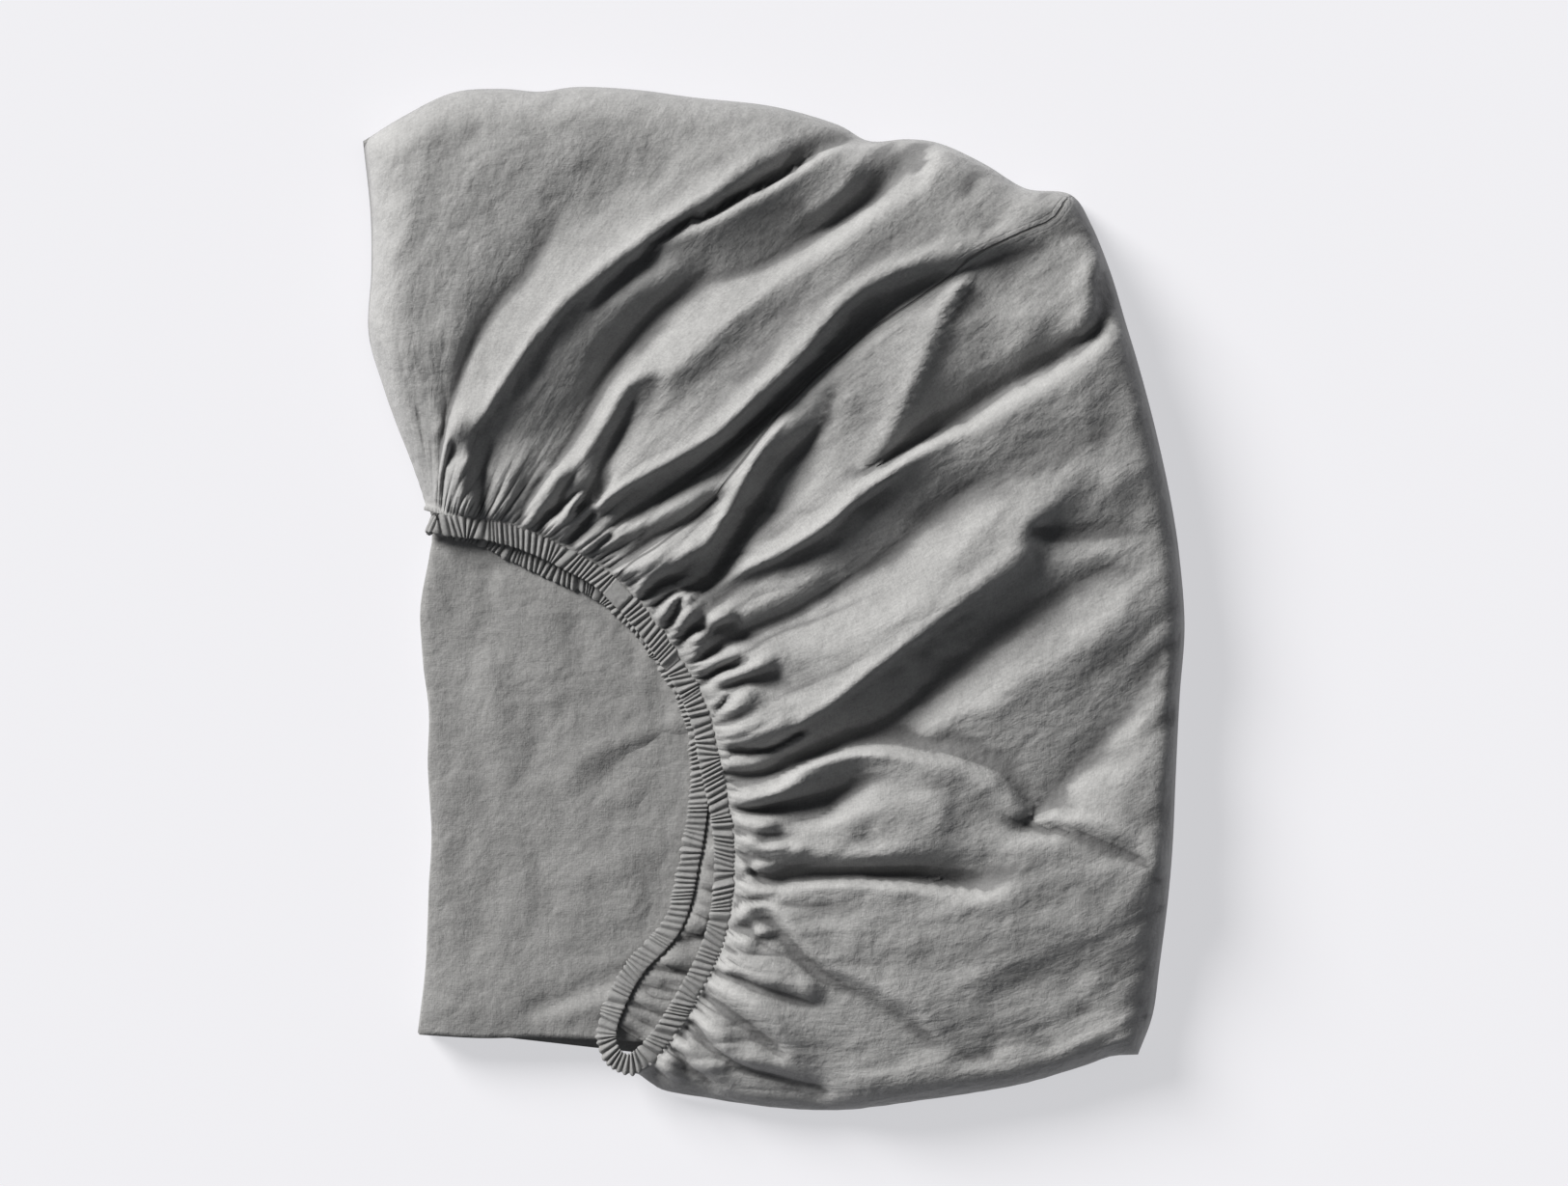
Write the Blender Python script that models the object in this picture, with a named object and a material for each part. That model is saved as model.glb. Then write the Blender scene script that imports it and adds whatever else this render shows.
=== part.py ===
"""A queen-size linen fitted sheet, folded into a flat bundle with its gathered skirt lying on top.

The cloth is one continuous sheet, folded back and forth. It starts at the elastic edge of the front
skirt, runs outwards over the bundle in deep folds, turns under at the rim, crosses the floor as the
bottom layer, zigzags up through the folded panel and ends at the elastic edge of the back skirt.
The elastic, in its shirred casing, is one closed loop beside those two edges.

Places are read on a drawing grid of half-millimetre squares, x to the right and y down the sheet.
Heights and sizes are in metres unless a name ends in MM.
"""

import math

import bpy
import numpy as np

# The drawing grid.
SQUARE = 0.0005
GRID_CENTRE = (802.5, 621.5)
MM = 0.001

# The cloth and its layers. Each modelled layer stands for several real plies.
CLOTH_THICKNESS = 0.0018
LAYER_PITCH = 0.0034
FLOOR_LAYERS = 6
BULGE_HEIGHT = 0.002
BULGE_CENTRE = (0.090, 0.020)
BULGE_REACH = (0.110, 0.150)

# The elastic in its casing.
CASING_WIDTH = 0.011
CASING_HEIGHT = 0.0044
CASING_GAP = 0.0009
CASING_RIBS = 104
CASING_SIDES = 8
RIB_SHRINK = 0.84
BACK_HEM_HEIGHT = 0.0214

# The rounded outer edge of the skirt.
RIM_HEIGHT = 0.0065
RIM_ROUND = 0.022
RIM_TUCK = 0.009
SIDE_EDGE_HEIGHT = 0.0032
LEAST_SKIRT_GAP = 0.0024

# The lowest layer lies flat. Its outline touches the surface at every fourth column, a hair above it between them.
OUTLINE_RISE = 0.0003
INNER_RISE = 0.00002
TOUCH_COLUMNS = 4

# Mesh density.
SKIRT_COLUMNS = 88
TURN_COLUMNS = SKIRT_COLUMNS // 2
LAYER_COLUMNS = TURN_COLUMNS // 2
SKIRT_ROWS = (
    0, 0.03, 0.07, 0.12, 0.18, 0.25, 0.32, 0.39, 0.46, 0.53, 0.60, 0.67, 0.74, 0.81, 0.87, 0.92, 0.96, 0.985, 1,
)
FIELD_STEP = 0.002

# Outlines on the drawing grid, as (x, y).
HOOD_LEFT = [
    (444, 529), (436, 503), (424, 470), (412, 440), (398, 400), (383, 345), (386, 280), (385, 220), (378, 148),
]
HOOD_RIM = [
    (378, 148), (420, 122), (470, 98), (520, 94), (560, 97), (600, 92), (660, 95), (720, 103), (800, 112),
    (865, 130), (900, 148), (940, 146), (975, 151), (1020, 172), (1062, 197), (1108, 203), (1130, 235),
    (1150, 285), (1165, 335), (1180, 385), (1197, 450), (1212, 520), (1221, 580), (1226, 650), (1221, 720),
    (1217, 800), (1214, 870), (1209, 930), (1200, 1000), (1193, 1050), (1178, 1091),
]
HOOD_BOTTOM = [
    (655, 1109), (672, 1122), (690, 1131), (740, 1139), (800, 1147), (850, 1150), (900, 1147), (950, 1140),
    (1000, 1133), (1060, 1122), (1120, 1104), (1150, 1093), (1178, 1091),
]
PANEL_LEFT = [
    (452, 553), (443, 590), (434, 640), (435, 690), (441, 740), (440, 800), (443, 870), (440, 920), (437, 1000),
    (431, 1068),
]
PANEL_TOP = [
    (452, 553), (462, 525), (458, 490), (447, 455), (437, 430), (424, 400), (408, 345), (410, 280), (410, 220),
    (410, 187),
]
PANEL_BOTTOM = [
    (431, 1068), (500, 1072), (560, 1071), (625, 1074), (720, 1078), (850, 1082), (1000, 1078), (1100, 1070),
    (1150, 1060),
]
FLOOR_BOTTOM = [
    (431, 1068), (500, 1072), (560, 1071), (625, 1076), (652, 1103), (690, 1127), (800, 1143), (900, 1143),
    (1000, 1129), (1120, 1100), (1164, 1086),
]
BACK_SKIRT_BOTTOM = [
    (648, 1080), (700, 1098), (760, 1106), (850, 1108), (1000, 1090), (1100, 1074), (1150, 1060),
]

# The elastic's centre line, as (x, y, height in mm).
FRONT_BAND = [
    (458, 544, 27.6), (475, 547, 27.6), (505, 550, 27.6), (535, 557, 27.6), (565, 568, 27.6), (595, 583, 27.6),
    (625, 600, 27.6), (648, 622, 27.6), (670, 648, 27.6), (690, 675, 27.6), (707, 702, 27.6), (720, 727, 27.6),
    (729, 752, 27.6), (734, 780, 27.6), (740, 808, 27.6), (746, 835, 27.6), (750, 865, 27.6), (751, 895, 27.6),
    (749, 925, 27.6), (745, 952, 27.6), (737, 978, 27.6), (726, 1002, 27.6), (713, 1026, 27.4), (699, 1050, 26.8),
    (683, 1073, 26.0), (667, 1090, 25.0), (652, 1097, 24.0),
]
BAND_TURN = [(638, 1090, 23.0), (631, 1074, 22.6)]
BACK_BAND = [
    (633, 1055, 22.4), (641, 1034, 22.4), (652, 1012, 22.4), (664, 994, 22.4), (680, 978, 22.4), (694, 962, 22.4),
    (704, 942, 22.4), (710, 920, 22.4), (714, 900, 22.4), (719, 875, 22.4), (723, 850, 22.4), (726, 820, 22.4),
    (728, 795, 22.4), (725, 760, 22.4), (716, 730, 22.4), (703, 703, 22.4), (686, 675, 22.4), (666, 649, 22.4),
    (643, 626, 22.4), (618, 608, 22.4), (594, 598, 22.4), (575, 590, 22.4), (555, 581, 22.4), (535, 571, 22.4),
    (515, 560, 22.4), (490, 552, 22.4), (472, 548, 22.4), (458, 545, 22.4),
]
END_TURN = [(452, 544, 23.2), (450, 543, 25.0), (452, 543, 26.8)]

# Crest and valley lines of the skirt's folds, as (x, y, height in mm).
FOLD_LINES = {
    "left body": [
        (436, 470, 34), (444, 415, 40), (460, 350, 45), (488, 288, 48), (524, 232, 49), (556, 185, 48),
        (605, 150, 45), (690, 130, 41), (780, 126, 37), (850, 140, 28),
    ],
    "left slit": [(426, 440, 31), (430, 470, 27), (437, 508, 26)],
    "first valley": [
        (600, 172, 44), (591, 205, 41), (575, 240, 38), (560, 270, 36), (546, 292, 35), (515, 325, 34),
        (500, 350, 33), (486, 380, 31), (470, 430, 29), (458, 510, 27),
    ],
    "first crest": [
        (488, 480, 38), (497, 450, 43), (512, 425, 47), (550, 368, 50), (590, 320, 51), (615, 299, 51),
        (650, 269, 51), (700, 239, 50), (745, 204, 49), (785, 173, 45), (805, 163, 39),
    ],
    "first slot": [
        (620, 322, 40), (655, 284, 37), (700, 247, 33), (730, 230, 30), (760, 214, 28), (790, 201, 27),
        (820, 185, 27), (850, 165, 26), (880, 153, 25),
    ],
    "top slit": [(785, 151, 37), (820, 144, 31), (850, 139, 28), (880, 147, 25)],
    "second crest": [
        (690, 262, 43), (740, 236, 47), (772, 217, 49), (802, 202, 50), (832, 182, 49), (854, 167, 45),
        (880, 156, 37),
    ],
    "second dip": [
        (505, 520, 29), (520, 480, 33), (545, 440, 36), (575, 400, 39), (610, 355, 41), (650, 315, 42),
        (700, 285, 42),
    ],
    "second valley": [
        (735, 291, 34), (702, 315, 31), (685, 328, 30), (668, 345, 29), (650, 365, 28), (636, 385, 28),
        (622, 410, 27), (602, 447, 27), (570, 497, 27), (545, 530, 27),
    ],
    "upper valley": [
        (942, 158, 31), (926, 187, 33), (905, 207, 33), (880, 227, 33), (850, 246, 33), (826, 260, 33),
        (800, 276, 33), (770, 288, 33), (735, 293, 34),
    ],
    "upper crest": [(899, 151, 34), (893, 168, 42), (884, 186, 45), (868, 208, 45), (840, 228, 44)],
    "third crest": [
        (680, 392, 44), (655, 402, 45), (640, 425, 44), (622, 455, 42), (600, 490, 38), (577, 530, 32),
    ],
    "third slit": [
        (664, 410, 41), (655, 427, 38), (646, 448, 35), (634, 472, 32), (620, 500, 29), (600, 530, 27),
    ],
    "fourth crest": [
        (592, 556, 31), (618, 528, 38), (645, 509, 44), (700, 479, 49), (745, 451, 51), (785, 413, 53),
        (825, 376, 54), (860, 336, 54), (890, 307, 54), (940, 282, 53), (1000, 262, 49), (1060, 243, 42),
    ],
    "fourth face": [
        (690, 395, 48), (740, 350, 48), (800, 305, 48), (860, 262, 48), (920, 225, 47), (980, 200, 43),
    ],
    "seam valley": [
        (620, 566, 28), (670, 528, 28), (730, 486, 28), (760, 459, 29), (790, 434, 29), (820, 405, 30),
        (850, 378, 31), (880, 352, 33), (910, 330, 34), (945, 307, 35), (985, 291, 36), (1035, 271, 36),
        (1085, 254, 34), (1115, 243, 30),
    ],
    "low rise": [(618, 577, 31), (645, 556, 35), (682, 537, 37), (718, 519, 38), (745, 500, 38)],
    "low valley": [(640, 590, 28), (680, 560, 29), (715, 540, 30), (745, 517, 31)],
    "fifth crest": [
        (690, 598, 35), (712, 589, 39), (731, 572, 43), (745, 548, 45), (758, 525, 47), (773, 498, 48),
        (788, 472, 48), (806, 448, 48), (820, 434, 43),
    ],
    "upper rise": [(838, 416, 42), (862, 392, 42), (900, 362, 42), (960, 325, 43)],
    "deep valley": [
        (716, 613, 27), (735, 608, 26), (750, 586, 26), (765, 558, 26), (783, 528, 27), (803, 500, 28),
        (823, 475, 30), (842, 455, 33), (856, 432, 36), (859, 400, 42),
    ],
    "deep rise": [(800, 560, 36), (830, 530, 38), (850, 500, 39), (870, 460, 40), (880, 420, 43)],
    "corner crest": [
        (993, 300, 47), (975, 330, 49), (962, 360, 50), (952, 385, 50), (940, 410, 50), (925, 440, 49),
        (910, 466, 45), (894, 486, 43),
    ],
    "corner valley": [
        (898, 489, 40), (920, 475, 34), (950, 460, 31), (980, 444, 30), (1000, 431, 29), (1030, 412, 29),
        (1060, 395, 29), (1090, 378, 30), (1110, 365, 31), (1130, 346, 34), (1144, 331, 36),
    ],
    "sixth crest": [
        (736, 616, 31), (760, 599, 37), (780, 587, 40), (802, 578, 44), (832, 561, 47), (862, 541, 49),
        (882, 521, 50), (905, 504, 51), (932, 484, 52), (962, 465, 52), (1000, 449, 52), (1032, 427, 52),
        (1062, 410, 51), (1092, 395, 51), (1118, 377, 49), (1140, 357, 44),
    ],
    "sixth valley": [
        (1040, 448, 40), (1012, 462, 37), (1000, 485, 35), (985, 508, 34), (960, 536, 33), (930, 566, 33),
        (900, 588, 31), (870, 606, 31), (830, 632, 30), (800, 645, 29), (770, 659, 28), (745, 671, 27),
        (730, 681, 27),
    ],
    "seventh ridge": [(730, 655, 30), (760, 640, 35), (800, 622, 37), (850, 597, 38)],
    "eighth crest": [
        (752, 768, 34), (780, 771, 38), (800, 764, 43), (822, 751, 47), (842, 737, 49), (867, 721, 51),
        (887, 704, 53), (932, 669, 54), (985, 628, 56), (1010, 607, 56), (1030, 585, 56), (1050, 558, 54),
        (1075, 530, 53), (1100, 504, 51), (1122, 485, 47),
    ],
    "eighth face": [
        (750, 712, 34), (800, 696, 39), (850, 681, 43), (900, 655, 47), (950, 615, 49), (1000, 560, 50),
        (1060, 505, 49),
    ],
    "eighth valley": [
        (752, 797, 25), (770, 800, 25), (795, 799, 25), (815, 795, 25), (835, 786, 26), (855, 778, 26),
        (875, 769, 27), (900, 758, 28), (930, 738, 29), (960, 715, 30), (990, 692, 31), (1020, 668, 33),
        (1060, 640, 34), (1100, 612, 35), (1150, 583, 36),
    ],
    "cross crease": [(1064, 549, 44), (1090, 553, 38), (1140, 556, 37), (1180, 552, 36)],
    "cross rise": [(1075, 575, 42), (1120, 578, 40), (1165, 575, 38)],
    "ninth rise": [
        (960, 758, 40), (1000, 737, 43), (1050, 707, 45), (1100, 676, 47), (1150, 641, 47), (1195, 602, 42),
    ],
    "ninth valley": [
        (1200, 690, 33), (1180, 712, 31), (1150, 747, 30), (1120, 785, 30), (1100, 808, 30), (1080, 829, 31),
        (1057, 848, 35),
    ],
    "right rise": [(1205, 760, 37), (1165, 798, 40), (1125, 828, 40), (1098, 843, 39)],
    "tenth crest": [
        (795, 818, 41), (808, 810, 42), (820, 799, 43), (842, 788, 45), (872, 780, 46), (900, 778, 47),
        (940, 781, 47), (980, 790, 46), (1010, 799, 45), (1035, 811, 43), (1050, 832, 40),
    ],
    "tenth valley": [
        (765, 837, 26), (780, 837, 27), (800, 834, 27), (820, 830, 28), (850, 824, 29), (880, 815, 32),
        (902, 802, 38),
    ],
    "bright knoll": [(890, 838, 44), (930, 826, 47), (968, 812, 48), (968, 842, 48), (955, 870, 45)],
    "knoll dip": [(896, 846, 42), (902, 872, 40)],
    "tip crease": [(1030, 826, 39), (1042, 840, 37), (1051, 850, 36)],
    "tip hollow": [(1000, 830, 40), (1015, 855, 39), (1000, 870, 39)],
    "tip crest": [
        (1056, 847, 44), (1090, 844, 45), (1130, 850, 45), (1160, 861, 44), (1187, 881, 43), (1203, 903, 38),
    ],
    "tip slit": [(1057, 854, 37), (1080, 857, 36), (1110, 858, 39), (1140, 871, 39), (1180, 886, 38)],
    "tenth rise": [(790, 868, 35), (830, 862, 38), (860, 852, 40), (885, 842, 43)],
    "eleventh rise": [
        (775, 880, 33), (800, 885, 38), (850, 884, 40), (900, 881, 42), (950, 880, 43), (1000, 877, 43),
        (1050, 869, 44), (1090, 866, 44),
    ],
    "eleventh valley": [
        (803, 909, 27), (850, 904, 26), (900, 903, 26), (950, 905, 26), (1000, 910, 26), (1030, 905, 28),
        (1060, 898, 30), (1090, 890, 33), (1113, 881, 38),
    ],
    "twelfth crest": [
        (775, 925, 34), (800, 921, 38), (830, 914, 40), (870, 911, 43), (920, 913, 44), (970, 919, 45),
        (1005, 924, 45), (1040, 916, 45), (1080, 906, 44), (1120, 899, 43), (1170, 897, 40), (1200, 905, 35),
    ],
    "long edge": [
        (780, 934, 38), (803, 936, 42), (817, 950, 42), (832, 968, 42), (852, 989, 42), (872, 1001, 40),
        (902, 1013, 40), (932, 1028, 39), (948, 1038, 38), (970, 1062, 36), (1005, 1092, 29),
    ],
    "long dip": [
        (795, 945, 37), (810, 958, 37), (826, 976, 37), (846, 997, 37), (868, 1010, 37), (900, 1023, 37),
        (930, 1038, 36), (960, 1062, 34),
    ],
    "left knoll": [(765, 960, 34), (790, 965, 37), (815, 985, 38), (840, 1005, 39)],
    "thirteenth valley": [
        (740, 1003, 26), (755, 1004, 28), (772, 1009, 31), (785, 1015, 33), (800, 1020, 34), (820, 1026, 34),
        (840, 1032, 35), (868, 1038, 37),
    ],
    "thirteenth rise": [
        (755, 997, 37), (772, 1001, 40), (785, 1007, 41), (800, 1011, 42), (820, 1017, 42), (840, 1023, 42),
    ],
    "fourteenth valley": [
        (726, 1022, 26), (738, 1030, 27), (752, 1041, 28), (765, 1049, 28), (775, 1055, 28), (785, 1063, 28),
        (797, 1074, 28), (808, 1086, 28),
    ],
    "fourteenth rise": [(775, 1042, 37), (790, 1052, 38), (805, 1065, 38), (820, 1082, 36), (850, 1100, 31)],
    "bottom crease": [
        (713, 1056, 25), (722, 1053, 26), (730, 1066, 26), (740, 1079, 26), (752, 1087, 26), (775, 1101, 25),
        (790, 1107, 24), (810, 1112, 23), (830, 1119, 21), (850, 1127, 17),
    ],
    "bottom rise": [(760, 1082, 35), (785, 1094, 34), (815, 1102, 31), (850, 1114, 26)],
    "bottom slit": [
        (690, 1080, 24), (700, 1083, 23), (706, 1090, 22), (712, 1099, 20), (720, 1110, 17), (730, 1120, 14),
    ],
    "pinch rise": [
        (1195, 912, 37), (1150, 932, 42), (1090, 950, 43), (1010, 962, 43), (940, 970, 42), (880, 965, 42),
    ],
    "pinch valley": [
        (1197, 918, 34), (1160, 955, 35), (1120, 985, 35), (1080, 1012, 35), (1045, 1050, 33),
        (1020, 1090, 27),
    ],
    "right edge": [(1200, 935, 31), (1193, 965, 34), (1188, 1000, 34), (1184, 1050, 28)],
    "lower field": [(950, 1000, 40), (1010, 1010, 40), (1120, 1040, 37), (1080, 1075, 31), (900, 1070, 35)],
    "edge crease": [(1131, 246, 33), (1126, 275, 42), (1119, 308, 45), (1113, 342, 45)],
    "edge dip": [(1138, 285, 30), (1140, 310, 31), (1145, 328, 34)],
    "middle field": [(1000, 340, 44), (1060, 330, 45), (1000, 385, 42), (1060, 360, 42)],
    "right field": [(1170, 420, 39), (1180, 480, 38), (1120, 440, 45), (1150, 500, 43)],
    "top pleat": [(956, 157, 30), (957, 177, 37), (952, 196, 40)],
    "top pleat rise": [(963, 157, 35), (962, 180, 43), (958, 200, 44)],
    "top crease": [(1008, 188, 36), (1010, 215, 43), (1015, 245, 44)],
    "top field": [(1040, 215, 39), (1060, 225, 39), (985, 230, 47)],
}
SPREAD_LINES = {"lower field", "middle field", "right field", "top field"}
# Lines whose names end in one of these words are rounded; the others are creased.
SOFT_WORDS = {"rise", "face", "field", "knoll", "ridge", "hollow", "dip", "body"}

# How the columns of the skirt are shared along the elastic and along the rim.
COLUMN_SHARES = (0, 0.12, 0.24, 0.34, 0.44, 0.54, 0.64, 0.74, 0.84, 1)
ELASTIC_SHARES = (0, 0.03, 0.10, 0.20, 0.30, 0.41, 0.53, 0.66, 0.80, 1)
RIM_SHARES = (0, 0.16, 0.30, 0.40, 0.49, 0.58, 0.68, 0.79, 0.90, 1)


def clear_scene():
    for old in list(bpy.data.objects):
        bpy.data.objects.remove(old)


def on_grid(point):
    """A point of the drawing grid in metres, with its height where it has one."""
    x, y = point[:2]
    place = [(x - GRID_CENTRE[0]) * SQUARE, (GRID_CENTRE[1] - y) * SQUARE]
    return np.array(place + [z * MM for z in point[2:]])


def smoothstep(value):
    value = np.clip(value, 0.0, 1.0)
    return value * value * (3 - 2 * value)


class Curve:
    """A smooth curve through points, read by the share of its length."""

    def __init__(self, points, closed=False, per_span=10):
        points = np.array(points, float)
        ring = np.vstack([points[-1:], points, points[:2]]) if closed else self.with_ends(points)
        fine = []
        for start in range(1, len(ring) - 2):
            before, here, there, after = ring[start - 1 : start + 3]
            for share in np.arange(per_span) / per_span:
                fine.append(self.between(before, here, there, after, share))
        fine.append(ring[-2])
        self.points = np.array(fine)
        steps = np.linalg.norm(np.diff(self.points, axis=0), axis=1)
        self.along = np.concatenate([[0], np.cumsum(steps)])
        self.length = self.along[-1]

    @staticmethod
    def with_ends(points):
        return np.vstack([2 * points[0] - points[1], points, 2 * points[-1] - points[-2]])

    @staticmethod
    def between(before, here, there, after, share):
        """The Catmull-Rom point between two neighbours."""
        return 0.5 * (
            2 * here
            + (there - before) * share
            + (2 * before - 5 * here + 4 * there - after) * share**2
            + (3 * here - before - 3 * there + after) * share**3
        )

    def at(self, share):
        wanted = np.asarray(share, float) * self.length
        columns = [np.interp(wanted, self.along, self.points[:, k]) for k in range(self.points.shape[1])]
        return np.stack(columns, axis=-1)

    def side(self, distance):
        """The same curve moved sideways, to the left of its direction for a distance above zero."""
        ahead = np.gradient(self.points, axis=0)[:, :2]
        ahead /= np.linalg.norm(ahead, axis=1)[:, None]
        moved = self.points.copy()
        moved[:, 0] -= ahead[:, 1] * distance
        moved[:, 1] += ahead[:, 0] * distance
        return moved


def grid_curve(points):
    return Curve([on_grid(p) for p in points])


def distance_to(lines, x, y):
    """The distance from each point to the nearest of some fine lines."""
    spots = np.vstack([line[:, :2] for line in lines])
    gaps = np.hypot(x[..., None] - spots[:, 0], y[..., None] - spots[:, 1])
    return gaps.min(axis=-1)


def laplacian(values):
    padded = np.pad(values, 1, mode="edge")
    around = padded[:-2, 1:-1] + padded[2:, 1:-1] + padded[1:-1, :-2] + padded[1:-1, 2:]
    return around - 4 * values


class FoldField:
    """The height of the skirt: a stiff sheet relaxed over its crest and valley lines."""

    TENSION = 0.10
    BENDING = 0.50
    CREASE_BENDING = 0.03
    LINE_PULL = 6.0
    REST_PULL = 0.001
    REST_HEIGHT = 0.036
    ROUNDS = 700

    def __init__(self, lines, creases, low, high, step):
        self.low, self.step = np.array(low, float), step
        self.shape = tuple(np.ceil((np.array(high) - self.low) / step).astype(int) + 1)
        self.bending = np.full(self.shape, self.BENDING)
        for points in creases:
            cell = np.clip(np.rint((points[:, :2] - self.low) / step).astype(int), 0, np.array(self.shape) - 1)
            self.bending[cell[:, 0], cell[:, 1]] = self.CREASE_BENDING
        pull = np.full(self.shape, self.REST_PULL)
        wanted = pull * self.REST_HEIGHT
        for points in lines:
            cell = np.rint((points[:, :2] - self.low) / step).astype(int)
            cell = np.clip(cell, 0, np.array(self.shape) - 1)
            np.add.at(pull, (cell[:, 0], cell[:, 1]), self.LINE_PULL)
            np.add.at(wanted, (cell[:, 0], cell[:, 1]), self.LINE_PULL * points[:, 2])
        self.height = self.relax(pull, wanted)

    def relax(self, pull, wanted):
        """Solves for the heights by conjugate gradients."""

        def stretched(z):
            bent = laplacian(z)
            return pull * z - self.TENSION * bent + laplacian(self.bending * bent)

        z = np.full(self.shape, self.REST_HEIGHT)
        rest = wanted - stretched(z)
        push = rest.copy()
        size = (rest * rest).sum()
        for _ in range(self.ROUNDS):
            pushed = stretched(push)
            step = size / (push * pushed).sum()
            z += step * push
            rest -= step * pushed
            grown = (rest * rest).sum()
            push = rest + grown / size * push
            size = grown
        return z

    def at(self, x, y):
        u = np.clip((x - self.low[0]) / self.step, 0, self.shape[0] - 1.001)
        v = np.clip((y - self.low[1]) / self.step, 0, self.shape[1] - 1.001)
        i, j = u.astype(int), v.astype(int)
        a, b = u - i, v - j
        z = self.height
        near = z[i, j] * (1 - a) + z[i + 1, j] * a
        far = z[i, j + 1] * (1 - a) + z[i + 1, j + 1] * a
        return near * (1 - b) + far * b


class Patch:
    """A four-sided patch between an inner edge, an outer edge and two side edges."""

    def __init__(self, inner, outer, first, last):
        self.inner, self.outer, self.first, self.last = inner, outer, first, last

    def side_point(self, side, end, row):
        """A point of a side edge, drawn to where the inner and the outer edge end."""
        start, stop = self.inner.at(end)[:2], self.outer.at(end)[:2]
        return side.at(row)[:2] + (1 - row) * (start - side.at(0)[:2]) + row * (stop - side.at(1)[:2])

    def at(self, column, row):
        elastic = np.interp(column, COLUMN_SHARES, ELASTIC_SHARES)
        rim = np.interp(column, COLUMN_SHARES, RIM_SHARES)
        inner, outer = self.inner.at(elastic)[:2], self.outer.at(rim)[:2]
        first, last = self.side_point(self.first, 0, row), self.side_point(self.last, 1, row)
        near = (1 - column) * self.inner.at(0)[:2] + column * self.inner.at(1)[:2]
        far = (1 - column) * self.outer.at(0)[:2] + column * self.outer.at(1)[:2]
        corners = (1 - row) * near + row * far
        return (1 - column) * first + column * last + (1 - row) * inner + row * outer - corners


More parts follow.
